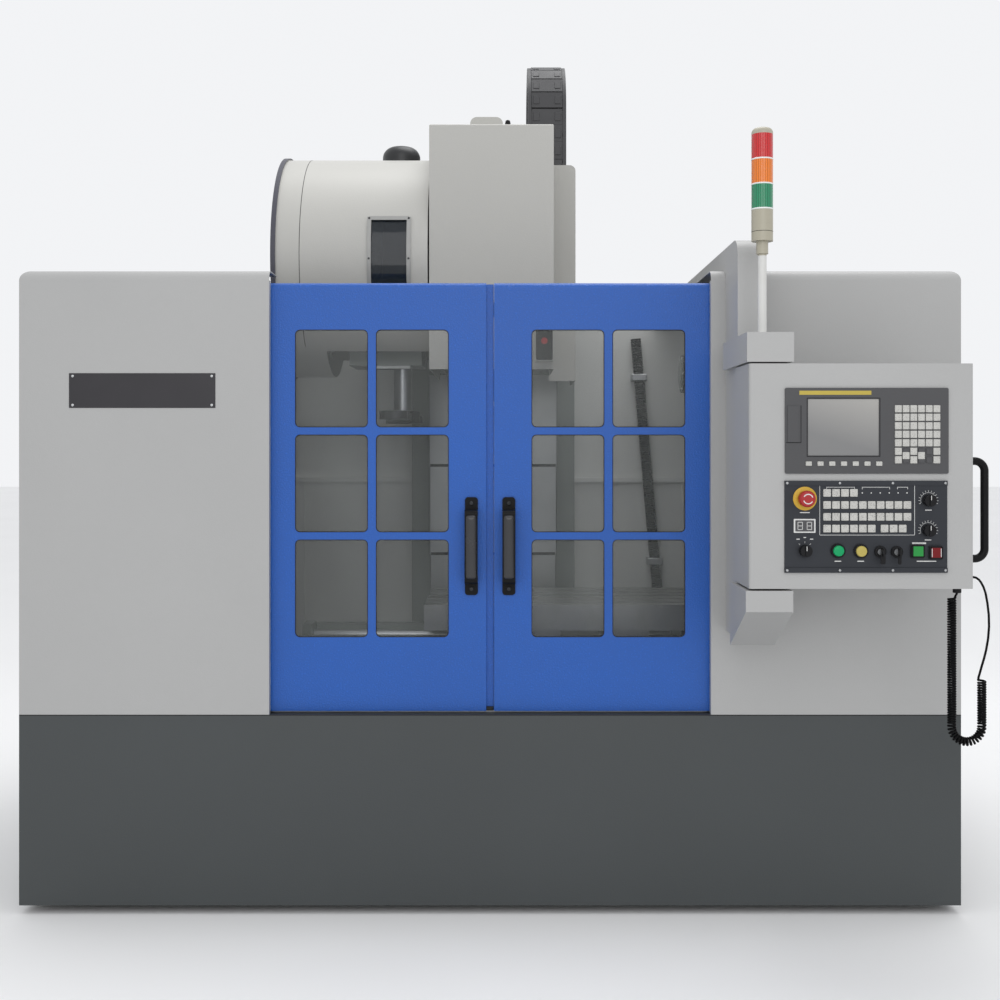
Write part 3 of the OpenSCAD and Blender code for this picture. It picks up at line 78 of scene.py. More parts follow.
# %% Camera
camera = bpy.data.objects.new("camera", bpy.data.cameras.new("camera"))
bpy.context.scene.collection.objects.link(camera)
camera.location = spot(33, -3519, 1282)  # found from the lines that meet in the photograph
camera.rotation_euler = (np.pi / 2, 0, 0)
camera.data.lens = 45.9
camera.data.sensor_width = 36
camera.data.shift_x = -0.002
camera.data.shift_y = -0.05
camera.data.clip_end = 200
bpy.context.scene.camera = camera
bpy.context.scene.view_settings.view_transform = "Standard"
print("camera at", tuple(round(c, 3) for c in camera.location))

# %% Light
world = bpy.data.worlds.new("studio")
bpy.context.scene.world = world
world.use_nodes = True
sky = world.node_tree.nodes["Background"].inputs
sky["Color"].default_value, sky["Strength"].default_value = (0.97, 0.98, 1.0, 1), 0.92


def softbox(name, place, aim, size, power):
    """A square lamp of the given size that looks from its place towards a point."""
    lamp = bpy.data.objects.new(name, bpy.data.lights.new(name, "AREA"))
    lamp.data.size, lamp.data.energy = size, power
    lamp.location = place
    heading = np.subtract(aim, place)
    pitch = np.arctan2(np.hypot(heading[0], heading[1]), -heading[2])
    lamp.rotation_euler = (pitch, 0, np.arctan2(heading[1], heading[0]) - np.pi / 2)
    bpy.context.scene.collection.objects.link(lamp)


softbox("key_lamp", (0.3, -6.4, 3.4), (0, -0.6, 1.3), 4.0, 70)
softbox("top_lamp", (0.6, 0.2, 5.5), (0, -0.2, 1.0), 3.0, 90)

# %% [markdown]
# ## Shader arithmetic
# A finish is a small network of nodes. Written out node by node it is hard to read, so a socket is
# wrapped in a class that takes part in ordinary sums: each sum adds one Math node. Colours go
# through Mix nodes, because a Math node would turn them grey.

# %% Sums of sockets
class Value:
    """A shader socket that can be added, multiplied and so on with numbers and other sockets."""

    def __init__(self, finish, socket):
        self.finish, self.socket = finish, socket

    def sum(self, operation, first, second):
        return self.finish.node("ShaderNodeMath", {"operation": operation}, {0: first, 1: second})

    def __add__(self, other):
        return self.sum("ADD", self, other)

    def __sub__(self, other):
        return self.sum("SUBTRACT", self, other)

    def __rsub__(self, other):
        return self.sum("SUBTRACT", other, self)

    def __mul__(self, other):
        return self.sum("MULTIPLY", self, other)

    __radd__, __rmul__ = __add__, __mul__


print("a socket can be added, taken away and multiplied, from either side")

# %% A finish
class Finish:
    """A material whose nodes are added by one method; coat feeds the shader's own sockets."""

    def __init__(self, name):
        self.material = bpy.data.materials.new(name)
        self.material.use_nodes = True
        self.tree = self.material.node_tree
        self.shader = self.tree.nodes["Principled BSDF"]
        self.place = self.node("ShaderNodeTexCoord", {}, {}, "Object")

    def feed(self, socket, value):
        """Link a wrapped socket, or set a plain value."""
        if isinstance(value, Value):
            self.tree.links.new(value.socket, socket)
        else:
            socket.default_value = value

    def node(self, kind, settings, sockets, output=0):
        """Add a node: its settings first, then the values or links of its sockets."""
        new = self.tree.nodes.new(kind)
        for key, value in settings.items():
            setattr(new, key, value)
        for key, value in sockets.items():
            self.feed(new.inputs[key], value)
        return Value(self, new.outputs[output])

    def stretch(self, factors):
        """The place with each axis multiplied by its own factor."""
        times = {"operation": "MULTIPLY"}
        return self.node("ShaderNodeVectorMath", times, {0: self.place, 1: factors})

    def axis(self, index, vector=None):
        """One coordinate of the place or of another vector."""
        return self.node("ShaderNodeSeparateXYZ", {}, {0: vector or self.place}, index)

    def noise(self, scale, detail=2.0, vector=None):
        """Soft random spots, about scale of them in a metre."""
        sockets = {"Vector": vector or self.place, "Scale": scale, "Detail": detail}
        return self.node("ShaderNodeTexNoise", {}, sockets)

    def cells(self, scale):
        """Distance to the nearest of scattered points."""
        return self.node("ShaderNodeTexVoronoi", {}, {"Vector": self.place, "Scale": scale})

    def between(self, value, low, high):
        """0 below low, 1 above high, and straight between them."""
        return self.node("ShaderNodeMapRange", {}, {0: value, 1: low, 2: high})

    def mix(self, share, first, second):
        """From the first colour at share 0 to the second at share 1."""
        return self.node("ShaderNodeMix", {"data_type": "RGBA"}, {0: share, 6: first, 7: second}, 2)

    def bump(self, height, depth, strength=1.0):
        """Tilt the light by a height from 0 to 1 times a depth in metres."""
        sockets = {"Height": height, "Distance": depth, "Strength": strength}
        self.coat(Normal=self.node("ShaderNodeBump", {}, sockets))

    def coat(self, **sockets):
        """Set or link the shader's sockets, named with _ for a space."""
        for key, value in sockets.items():
            self.feed(self.shader.inputs[key.replace("_", " ")], value)


print("a finish can:", [name for name in vars(Finish) if not name.startswith("_")])

# %% Screen colours
def tint(red, green, blue, shade=1.0):
    """A screen colour of 0 to 255 per channel as a linear one, multiplied by a shade."""
    c = np.array([red, green, blue]) / 255.0
    linear = np.where(c <= 0.04045, c / 12.92, ((c + 0.055) / 1.055) ** 2.4) * shade
    return (*(float(x) for x in np.clip(linear, 0, 1)), 1.0)


print("mid grey is", round(tint(128, 128, 128)[0], 3), "of full light")

# %% [markdown]
# ## Sprayed sheet metal
# Guarding is sprayed with a textured two-part paint. Close up it has orange peel of a few
# millimetres; from a distance it is slightly cloudy, because the coat varies in thickness. A
# picture of paint would have to be unwrapped onto every sheet. Noise on object coordinates needs
# no unwrapping, so one function gives all the painted pieces, with the peel, the cloudiness and a
# painted highlight on the peel's crests as values.

# %% Paint
def sprayed(name, colour, peel=240.0, depth=0.00035, rough=0.42, cloud=0.05, painted_crest_highlight=0.0,
            gloss=0.0):
    """Colour times a slow cloud noise, and peel as bump whose crests carry a painted highlight."""
    paint = Finish(name)
    clouds = paint.noise(1.6, 4.0)
    grain = paint.noise(700.0, 1.0)
    shade = paint.between(clouds * 0.8 + grain * 0.2, 0.3, 0.7)
    body = paint.mix(shade, tint(*colour, 1 - cloud), tint(*colour, 1 + cloud))
    peeled = paint.noise(peel, 2.0)
    # painted highlight: where the peel peaks the colour turns paler, standing in for light caught
    # by the crests
    body = paint.mix(paint.between(peeled, 0.56, 0.7) * painted_crest_highlight, body, tint(*colour, 2.2))
    paint.bump(peeled * 0.8 + grain * 0.2, depth)
    paint.coat(Base_Color=body, Roughness=rough + (clouds - 0.5) * 0.14 + (peeled - 0.5) * 0.1)
    paint.coat(Coat_Weight=gloss, Coat_Roughness=0.2)
    return paint.material


PANEL_GREY = sprayed("panel_grey_paint", (168, 168, 167), cloud=0.03)
INNER_GREY = sprayed("inner_grey_paint", (206, 207, 204), cloud=0.09, rough=0.5)
# the doors' peel carries a painted highlight on its crests
DOOR_BLUE = sprayed("door_blue_paint", (6, 80, 166), peel=230.0, depth=0.0016, cloud=0.06,
                    painted_crest_highlight=0.24, gloss=0.06)
SKIRT_GREY = sprayed("skirt_dark_paint", (60, 64, 65), cloud=0.07)
COVER_CREAM = sprayed("cover_cream_paint", (182, 181, 176), cloud=0.025)
HEAD_GREY = sprayed("head_cover_paint", (176, 175, 170), cloud=0.03)
MOTOR_BLACK = sprayed("motor_black_paint", (30, 31, 33), peel=400.0, cloud=0.12, rough=0.38)
UNIT_DARK = sprayed("control_unit_enamel", (68, 68, 70), peel=900.0, depth=0.00012, cloud=0.04,
                    rough=0.5)
print("paints:", len(bpy.data.materials))

# %% [markdown]
# ## Castings, ground iron and brushed steel
# The bed, column and head are iron castings: filled, rubbed down and painted, so their surface
# rolls gently. The table top is ground, with fine straight lines and faint oil stains. Guide-way
# covers and shafts are brushed steel. All three come from stretched noise at different scales.

# %% Metals
def cast_paint(name, colour):
    """Paint over filler: a slow roll of a few centimetres under a fine grain."""
    paint = Finish(name)
    roll, grain = paint.noise(28.0, 3.0), paint.noise(420.0, 2.0)
    oil = paint.between(paint.noise(4.0, 5.0), 0.55, 0.8)
    body = paint.mix(oil * 0.5, tint(*colour), tint(*(0.72 * c for c in colour)))
    paint.bump(roll * 0.75 + grain * 0.25, 0.0016, 0.8)
    paint.coat(Base_Color=body, Roughness=0.5 - oil * 0.2 + (grain - 0.5) * 0.1)
    return paint.material


def brushed(name, colour, lines, rough=0.3, stain=0.2):
    """Metal with fine lines: noise squeezed across the brushing direction, plus faint stains."""
    metal = Finish(name)
    hairs = metal.noise(1.0, 3.0, metal.stretch(lines))
    spots = metal.between(metal.noise(9.0, 4.0), 0.5, 0.75)
    body = metal.mix(spots * stain, tint(*colour), tint(*(0.66 * c for c in colour)))
    metal.bump(hairs, 0.00012, 0.6)
    dull = rough + (hairs - 0.5) * 0.22 + spots * stain * 0.4
    metal.coat(Base_Color=body, Roughness=dull, Metallic=0.92)
    return metal.material


CASTING = cast_paint("casting_paint", (122, 128, 124))
TABLE_IRON = brushed("ground_iron", (150, 151, 150), (6.0, 900.0, 900.0), 0.36, 0.35)
STEEL = brushed("brushed_steel", (176, 178, 180), (900.0, 900.0, 8.0), 0.32, 0.15)
COVER_STEEL = brushed("way_cover_steel", (158, 160, 160), (8.0, 700.0, 700.0), 0.38, 0.1)
GUN_STEEL = brushed("blackened_steel", (62, 63, 65), (500.0, 500.0, 500.0), 0.42, 0.3)
print("metals:", [m.name for m in (CASTING, TABLE_IRON, STEEL, COVER_STEEL, GUN_STEEL)])

# %% [markdown]
# ## Plastics, rubber and glass
# Moulded plastic carries the fine spark-eroded grain of its tool. The lamp lenses are clear
# coloured plastic with upright flutes inside, which bend light into bright and dark lines. Cut
# flutes would need a second skin in each lens, so the sine of the angle round the tower axis gives
# the lines as painted highlights and painted shade.
# The door panes are tinted sheets with wiped-on haze, which makes them cover a little more.

# %% Moulded plastic
def moulded(name, colour, rough=0.45, grain=1300.0, depth=0.00008, shine=0.5):
    """Plastic with the grain of its mould and a slight change of gloss where hands go."""
    plastic = Finish(name)
    pits, wear = plastic.noise(grain, 2.0), plastic.noise(14.0, 4.0)
    body = plastic.mix(plastic.between(wear, 0.4, 0.8) * 0.3, tint(*colour), tint(*colour, 1.35))
    plastic.bump(pits, depth)
    plastic.coat(Base_Color=body, Roughness=rough + (wear - 0.5) * 0.2, Specular_IOR_Level=shine)
    return plastic.material


BLACK_PLASTIC = moulded("black_plastic", (20, 20, 22), shine=0.2)
GRIP_BLACK = moulded("handle_black", (20, 20, 21), 0.38, 900.0, 0.00015, 0.12)
CHAIN_NYLON = moulded("chain_nylon", (52, 52, 54), 0.5, 500.0, 0.0002)
CORD_BLACK = moulded("cord_jacket", (10, 10, 11), 0.42, 1600.0, 0.00005, 0.1)
BUTTON_RED = moulded("button_red", (158, 26, 30), 0.3)
BUTTON_GREEN = moulded("button_green", (14, 148, 90), 0.28, shine=0.25)
BUTTON_AMBER = moulded("button_amber", (180, 164, 88), 0.28, shine=0.25)
SQUARE_GREEN = moulded("switch_green", (42, 137, 64), 0.3, shine=0.25)
SWITCH_RED = moulded("switch_red", (108, 18, 22), 0.3, shine=0.25)
PLATE_SLATE = brushed("operator_plate_print", (61, 63, 67), (1200.0, 1200.0, 1200.0), 0.5, 0.1)
print("finishes so far:", len(bpy.data.materials))

# %% Signal tower
TOWER = (692.0, -290.0)  # across and back of the signal tower's axis


def lens_plastic(name, colour, flutes=36):
    """Clear coloured plastic: painted highlight and shade follow the sine of the angle round the
    tower axis.
    """
    plastic = Finish(name)
    middle = [-float(c) for c in spot(*TOWER, 0)]
    plus = {"operation": "ADD"}
    shifted = plastic.node("ShaderNodeVectorMath", plus, {0: plastic.place, 1: middle})
    angle = plastic.node("ShaderNodeMath", {"operation": "ARCTAN2"},
                         {0: plastic.axis(1, shifted), 1: plastic.axis(0, shifted)})
    flute_and_painted_light = plastic.node("ShaderNodeMath", {"operation": "SINE"}, {0: angle * flutes})
    # painted highlight and shade: the flute wave lightens and darkens the colour in stripes,
    # standing in for bent light
    body = plastic.mix(flute_and_painted_light * 0.5 + 0.5, tint(*colour, 0.55), tint(*colour, 1.35))
    plastic.bump(flute_and_painted_light, 0.0004, 0.4)
    plastic.coat(Base_Color=body, Roughness=0.14 + plastic.noise(40.0) * 0.08, Emission_Color=body)
    plastic.coat(Emission_Strength=0.05, Coat_Weight=0.4, Coat_Roughness=0.08)
    return plastic.material


def tower_plastic(name, collar=1.773):
    """Pale pole below the collar's height in metres and beige plastic above it, finely grained."""
    plastic = Finish(name)
    grain, wear = plastic.noise(1200.0, 2.0), plastic.noise(12.0, 3.0)
    above = plastic.between(plastic.axis(2), collar, collar + 0.001)
    body = plastic.mix(above, tint(206, 206, 203), tint(166, 161, 144))
    body = plastic.mix(plastic.between(wear, 0.5, 0.8) * 0.2, body, tint(190, 187, 178))
    plastic.bump(grain, 0.00006)
    plastic.coat(Base_Color=body, Roughness=0.36 + (wear - 0.5) * 0.2)
    return plastic.material


TOWER_BEIGE = tower_plastic("tower_beige_plastic")
LENS_GREEN = lens_plastic("lens_green", (4, 122, 82))
LENS_AMBER = lens_plastic("lens_amber", (216, 112, 8))
LENS_RED = lens_plastic("lens_red", (186, 10, 16))
print("tower finishes:", [m.name for m in (TOWER_BEIGE, LENS_GREEN, LENS_AMBER, LENS_RED)])

# %% Panes
def pane(name, colour, alpha, haze):
    """Tinted sheet seen through: its share of cover grows where a cloth left haze."""
    sheet = Finish(name)
    wiped = sheet.between(sheet.noise(3.2, 5.0, sheet.stretch((1.0, 1.0, 0.6))), 0.42, 0.72)
    specks = sheet.between(sheet.cells(60.0), 0.05, 0.0)
    sheet.coat(Base_Color=sheet.mix(wiped, tint(*colour), tint(*colour, 1.25)))
    sheet.coat(Alpha=alpha + wiped * haze + specks * 0.15, Roughness=0.05 + wiped * 0.1)
    return sheet.material


DOOR_GLASS = pane("door_pane", (132, 136, 134), 0.1, 0.06)
DRUM_GLASS = pane("magazine_pane", (40, 46, 52), 0.62, 0.12)
print("finishes so far:", len(bpy.data.materials))

# %% [markdown]
# ## Finishes on the solids
# Each solid keeps its shape and gets one finish in its material slot. The table goes from a finish
# to the names of the solids that a workshop would paint, grind or mould in the same way, because
# that is shorter to read than sixty separate lines.

# %% Finishes for the solids
FINISHES = {
    PANEL_GREY: "left_wing right_wing pendant_pillar pendant_box electrical_cabinet cabinet_door",
    INNER_GREY: "rear_splash_panels",
    DOOR_BLUE: "left_door right_door",
    SKIRT_GREY: "base_skirt",
    COVER_CREAM: "magazine_cover",
    HEAD_GREY: "head_cover",
    CASTING: "machine_bed column saddle head_casting changer_gearbox",
    TABLE_IRON: "table",
    STEEL: "levelling_feet door_rails spindle_shaft changer_shaft tool_carousel x_screw y_screw "
           "z_screw left_key_switch right_key_switch",
    COVER_STEEL: "y_way_cover z_way_cover",
    GUN_STEEL: "changer_arm",
    MOTOR_BLACK: "changer_motor work_lamp axis_motors x_motor spindle_motor",
    BLACK_PLASTIC: "wall_conduit mode_dial feed_dial spindle_dial",
    GRIP_BLACK: "left_door_handle right_door_handle pendant_handle",
    CHAIN_NYLON: "cable_chain",
    CORD_BLACK: "handwheel_cord",
    UNIT_DARK: "display_unit",
    PLATE_SLATE: "operator_plate",
    TOWER_BEIGE: "signal_tower",
    LENS_GREEN: "green_lens",
    LENS_AMBER: "amber_lens",
    LENS_RED: "red_lens",
    DOOR_GLASS: "left_door_glass right_door_glass",
    DRUM_GLASS: "magazine_window",
    BUTTON_RED: "tool_release_button estop_button",
    SWITCH_RED: "power_off_button",
    BUTTON_GREEN: "start_button",
    BUTTON_AMBER: "hold_button",
    SQUARE_GREEN: "power_on_button",
}
dressed = {name: finish for finish, names in FINISHES.items() for name in names.split()}
for name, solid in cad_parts.items():
    if not solid.material_slots:
        solid.data.materials.append(dressed[name])
    for slot in solid.material_slots:
        slot.material = dressed[name]
print("solids with a finish:", len(dressed), "of", len(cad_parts))

# %% [markdown]
# ## The hand wheel's curly lead
# The lead leaves a gland under the pendant, hangs in one long loop of coiled cable and comes back
# to a second gland in the pendant's side. A coiled lead is a helix wound round a smooth route, but
# a Screw modifier only gives a straight one. The route here is straight, a half circle and
# straight again, so its place and its sideways direction are worked out from the distance along
# it. The turns lie a little wider in the bend, and at both ends the wire leaves along the rim.

# %% Route of the lead
CORD_BACK, WIRE, COIL = -330.0, 6.0, 23.0  # depth of the lead, wire and coil diameter in mm
LEG_X, BEND_Z, COIL_TOP, COIL_END = (1158.0, 1233.0), 590.0, 915.0, 709.0
bend_r = (LEG_X[1] - LEG_X[0]) / 2
down, half = COIL_TOP - BEND_Z, np.pi * bend_r
run = down + half + COIL_END - BEND_Z


def route(s):
    """Middle line of the coil at distance s: down one leg, round the half circle, up the other."""
    turn = np.clip((s - down) / bend_r, 0, np.pi)
    x = LEG_X[0] + bend_r * (1 - np.cos(turn))
    z = COIL_TOP - np.minimum(s, down) - bend_r * np.sin(turn) + np.maximum(s - down - half, 0)
    outward = np.stack([-np.cos(turn), np.zeros_like(turn), -np.sin(turn)], axis=-1)
    return np.stack([x, np.full_like(x, CORD_BACK), z], axis=-1), outward


print("length of the coil:", round(run), "mm")

# %% Wire wound round the route
BEND_PITCH, LEG_PITCH, RUN_OUT = 7.8, 6.3, 6.0  # over the last, the wire leaves along the rim
POINTS, MEAN_PITCH = 24, 6.6  # points on one turn of the wire
steps = np.linspace(0, run, POINTS * int(run / MEAN_PITCH))
pitch = np.where((steps > down - 10) & (steps < down + half + 10), BEND_PITCH, LEG_PITCH)
rate = np.clip(np.minimum(steps, run - steps) / RUN_OUT, 0, 1) / pitch
turns = np.concatenate([[0], np.cumsum(np.diff(steps) * rate[1:])])
phase = np.pi + 2 * np.pi * turns * np.round(turns[-1]) / turns[-1]
middle, outward = route(steps)
wound = middle + (COIL - WIRE) / 2 * (np.cos(phase)[:, None] * outward
                                      + np.sin(phase)[:, None] * np.array([0.0, 1.0, 0.0]))
lead_in = [(1171, 926), (1170.6, 923), (1169, 920), (1167.3, 917.5)]
lead_out = [(1224.8, 713), (1227.5, 722), (1232.5, 740), (1238.5, 760), (1244, 782), (1248.8, 810),
            (1251.2, 840), (1250.5, 870), (1247, 900), (1242.5, 924), (1237, 940), (1231, 951),
            (1226, 957.5), (1219, 962.5), (1212, 964), (1204, 964)]
ends = [np.insert(np.array(p, float), 1, CORD_BACK, axis=1) for p in (lead_in, lead_out)]
line = np.concatenate([ends[0], wound, ends[1]])
line = spot(line[:, 0], line[:, 1], line[:, 2])
print("points along the wire:", len(line))

# %% Lead as a cord
lead_curve = bpy.data.curves.new("curly_lead", "CURVE")
lead_curve.dimensions, lead_curve.bevel_depth = "3D", WIRE / 2000
lead_curve.bevel_resolution = 2
spline = lead_curve.splines.new("POLY")
spline.points.add(len(line) - 1)
spline.points.foreach_set("co", np.append(line, np.ones((len(line), 1)), axis=1).ravel())
lead_curve.use_fill_caps = True
lead_curve.materials.append(CORD_BLACK)
lead = bpy.data.objects.new("curly_lead", lead_curve)
bpy.context.scene.collection.objects.link(lead)
lead_length = float(np.linalg.norm(np.diff(line, axis=0), axis=1).sum())
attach(lead, "pendant")
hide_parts("handwheel_cord")
print("curly lead:", round(lead_length, 2), "m of wire,", int(np.round(turns[-1])), "turns")

# %% [markdown]
# ## From a grid of points to a piece
# Every added piece is a surface over two parameters. Such a surface is a table of points with rows
# and columns, and neighbouring points make its squares, so whole tables can be worked out at once.
# Many like pieces, such as key caps, are one table with one more direction.

# %% Grid to mesh
SIDES = {  # across, up and outward directions of each side of the machine
    "front": ((1, 0, 0), (0, 0, 1), (0, -1, 0)), "back": ((-1, 0, 0), (0, 0, 1), (0, 1, 0)),
    "left": ((0, -1, 0), (0, 0, 1), (-1, 0, 0)), "right": ((0, 1, 0), (0, 0, 1), (1, 0, 0)),
    "top": ((1, 0, 0), (0, 1, 0), (0, 0, 1)), "under": ((1, 0, 0), (0, -1, 0), (0, 0, -1)),
}


def piece(name, body, finish, slot, tables, rows_close=False, columns_close=False):
    """Join neighbours in each table of points (piece, row, column) into squares; weld the seams."""
    tables = np.asarray(tables, float)
    index = np.arange(tables[..., 0].size).reshape(tables.shape[:-1])
    if rows_close:
        index = np.concatenate([index, index[:, :1]], axis=1)
    if columns_close:
        index = np.concatenate([index, index[:, :, :1]], axis=2)
    corners = [index[:, :-1, :-1], index[:, :-1, 1:], index[:, 1:, 1:], index[:, 1:, :-1]]
    places = spot(tables[..., 0], tables[..., 1], tables[..., 2]).reshape(-1, 3)
    mesh = bpy.data.meshes.new(name)
    mesh.from_pydata(places.tolist(), [], np.stack(corners, axis=-1).reshape(-1, 4).tolist())
    shell = bmesh.new()
    shell.from_mesh(mesh)
    bmesh.ops.remove_doubles(shell, verts=shell.verts, dist=2e-6)
    bmesh.ops.dissolve_degenerate(shell, edges=shell.edges, dist=1e-7)
    bmesh.ops.recalc_face_normals(shell, faces=shell.faces)
    shell.to_mesh(mesh)
    shell.free()
    mesh.shade_smooth()
    mesh.set_sharp_from_angle(angle=np.radians(32))
    mesh.materials.append(finish)
    made = bpy.data.objects.new(name, mesh)
    bpy.context.scene.collection.objects.link(made)
    if body:
        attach(made, body)
    print(name, "has", len(mesh.polygons), "faces")
    return made


print("sides:", list(SIDES))

# %% [markdown]
# ## Blocks, turned pieces and strokes
# Three shapes give nearly all the small parts of a machine: low blocks with round corners, pieces
# from a lathe, and strips. The first two are outlines stacked one above the other, and the third is
# a section carried along a path. Bevel and Screw modifiers could make them too, but a stack of
# outlines says in one list of numbers how far each edge lies in and up.

# %% Stacked outlines
def stacked(centres, outlines, rises, side):
    """Outline k lifted by rise k from its side, at every centre; both ends run to a point."""
    directions = SIDES[side] if isinstance(side, str) else side
    across, up, out = (np.atleast_2d(np.array(d, float))[:, None, None] for d in directions)
    flat = np.concatenate([outlines[:1] * 0, outlines, outlines[-1:] * 0])
    lift = np.concatenate([rises[:1], rises, rises[-1:]])
    shape = flat[None, ..., :1] * across + flat[None, ..., 1:] * up
    shape = shape + lift[None, :, None, None] * out
    return np.asarray(centres, float)[:, None, None, :] + shape


def rounded(width, height, radius, inset):
    """Outline of a rectangle with round corners, moved inwards by an inset."""
    r = max(radius - inset, 0.05)
    angle = np.linspace(0, np.pi / 2, 4)[None] + np.arange(4)[:, None] * np.pi / 2
    reach = [width / 2 - inset - r, height / 2 - inset - r]
    corner = np.array([[1, 1], [-1, 1], [-1, -1], [1, -1]]) * reach
    ray = np.stack([np.cos(angle), np.sin(angle)], axis=-1)
    return (corner[:, None] + r * ray).reshape(-1, 2)


def pads(name, body, finish, slot, centres, size, steps, side="front", radius=1.5):
    """Low round-cornered blocks: an outline per step of (inset, rise), then a flat margin."""
    steps = [*steps, (steps[-1][0] + 0.4, steps[-1][1])]
    outlines = np.array([rounded(*size, radius, inset) for inset, _ in steps])
    rises = np.array([rise for _, rise in steps], float)
    blocks = stacked(centres, outlines, rises, side)
    return piece(name, body, finish, slot, blocks, columns_close=True)


def turned(name, body, finish, slot, centres, profile, side="front", around=32, hexes=()):
    """A profile of (radius, rise) turned about the outward axis; rows in hexes become hexagons."""
    profile = np.array(profile, float)
    angle = np.arange(around) * 2 * np.pi / around
    radii = np.repeat(profile[:, :1], around, axis=1)
    for row in hexes:
        radii[row] /= np.cos(np.mod(angle, np.pi / 3) - np.pi / 6)
    outlines = radii[..., None] * np.stack([np.cos(angle), np.sin(angle)], axis=-1)
    rounds = stacked(centres, outlines, profile[:, 1], side)
    return piece(name, body, finish, slot, rounds, columns_close=True)


SCREW = [(3.4, 0), (3.4, 1.2), (2.6, 2.3), (1.75, 2.4), (1.5, 1.0)]  # a head and its hexagon socket


def screws(name, body, finish, centres, wide=1.0, high=1.0, side="front"):
    """Socket screws: the screw's profile, made wider and higher, turned at every centre."""
    profile = [(radius * wide, rise * high) for radius, rise in SCREW]
    turned(name, body, finish, "steel", centres, profile, side, around=12, hexes=(3, 4))


print("points in the outline of a block:", len(rounded(10, 10, 1.5, 0)))

# %% Carried sections
def bands(name, body, finish, slot, path, half_width, thickness):
    """A four-cornered section along each path: path -/+ half width, then the same lifted."""
    arrays = np.broadcast_arrays(path, half_width, thickness)
    path, half, lift = (np.asarray(a, float) for a in arrays)
    ring = np.stack([path - half, path + half, path + half + lift, path - half + lift], axis=1)
    tip = ring.mean(axis=1, keepdims=True) + np.zeros_like(ring)
    ring = np.concatenate([tip[:, :, :1], ring, tip[:, :, -1:]], axis=2)
    return piece(name, body, finish, slot, ring, rows_close=True)


def printed(name, body, finish, slot, lines, back, width, thick=0.25):
    """Thin raised strokes on a face towards the front, from lines of (across, up) points."""
    lines = np.asarray(lines, float)
    run = np.gradient(lines, axis=1)
    run /= np.linalg.norm(run, axis=-1, keepdims=True)
    path = np.stack([lines[..., 0], np.full_like(lines[..., 0], back), lines[..., 1]], axis=-1)
    half = np.stack([-run[..., 1], 0 * run[..., 0], run[..., 0]], axis=-1) * width / 2
    return bands(name, body, finish, slot, path, half, np.array([0.0, -thick, 0.0]))


def boxed(x, z):
    """Four strokes round a rectangle."""
    a, b = [x[0], z[0]], [x[1], z[0]]
    c, d = [x[1], z[1]], [x[0], z[1]]
    return [[a, b], [b, c], [c, d], [d, a]]


print("strokes round a rectangle:", len(boxed((0, 1), (0, 1))))

# %% [markdown]
# ## The control unit
# The screen is a grey panel behind a recess, dull when it is off. Under it and beside it are
# rubbery pale keys, and a plain yellow strip lies above it. Each key could be a cube with a
# bevel, copied by hand. Low blocks with round edges, all in one table of points, make every field
# of keys one piece, and moving a row means changing one number.

# %% Finishes of the control unit
UNIT_FACE, PLATE_FACE = -402.0, -401.0  # depth of the control unit's and the operator plate's face


def screen_glass(name):
    """Dull screen: a painted reflection as a slow grey gradient from lower left to upper right, and
    fine dots.
    """
    glass = Finish(name)
    # painted reflection: the grey gradient stands in for the studio mirrored in the glass
    painted_reflection_ramp = glass.between(glass.axis(2) + glass.axis(0) * 0.3, 1.56, 1.70)
    body = glass.mix(painted_reflection_ramp, tint(122, 122, 122), tint(164, 162, 158))
    dots = glass.noise(2500.0, 1.0)
    glass.coat(Base_Color=body, Roughness=0.28 + dots * 0.1)
    return glass.material


def key_rubber(name, colour):
    """Pale key caps: slow noise makes some darker, and stretched noise leaves faint marks."""
    rubber = Finish(name)
    own = rubber.noise(55.0, 0.0)
    fine = rubber.noise(1100.0, 2.0)
    mark = rubber.between(rubber.noise(330.0, 1.0, rubber.stretch((1.0, 1.0, 1.8))), 0.58, 0.65)
    body = rubber.mix(own, tint(*colour, 0.9), tint(*colour, 1.06))
    body = rubber.mix(mark * 0.55, body, tint(96, 96, 98))
    rubber.bump(fine, 0.0001)
    rubber.coat(Base_Color=body, Roughness=0.5 + fine * 0.1)
    return rubber.material


SCREEN = screen_glass("screen_glass")
KEY_PALE = key_rubber("key_rubber", (190, 189, 184))
STRIP_YELLOW = moulded("strip_yellow", (178, 158, 62), 0.4)
PRINT_WHITE = moulded("printed_white", (208, 208, 206), 0.5)
SCREW_STEEL = brushed("screw_steel", (186, 187, 188), (300.0, 300.0, 300.0), 0.28, 0.1)
BLACK = (BLACK_PLASTIC, "black_plastic")  # a finish and the slot that goes with it
PRINT, KEYS = (PRINT_WHITE, "tower_beige"), (KEY_PALE, "tower_beige")
print("finishes so far:", len(bpy.data.materials))

# %% Screen, strip and keys
KEY_STEPS = [(0, 0), (0, 2.2), (0.5, 2.9), (1.6, 3.1)]  # inset and rise: side, round edge and top
pads("screen", "pendant", SCREEN, "dark_unit", [(868, -399.9, 1337.5)], (173.4, 138.4),
     [(0, 0), (0, 0.5), (0.4, 0.7)])
pads("unit_strip", "pendant", STRIP_YELLOW, "amber", [(848, UNIT_FACE, 1422)], (176, 10),
     [(0, 0), (0, 0.3), (0.3, 0.4)], radius=0.6)
soft_keys = [(782.6 + 28.7 * k, UNIT_FACE, 1248.7) for k in range(7)]
pads("soft_keys", "pendant", *KEYS, soft_keys, (14.8, 10.8), KEY_STEPS)
columns, levels = 1001.5 + 18.8 * np.arange(6), 1258 + 20.8 * np.arange(7)
keypad = [(x, UNIT_FACE, z) for x in columns for z in levels[2:]]
keypad += [(columns[i], UNIT_FACE, z) for i in (0, 2, 5) for z in levels[:2]]
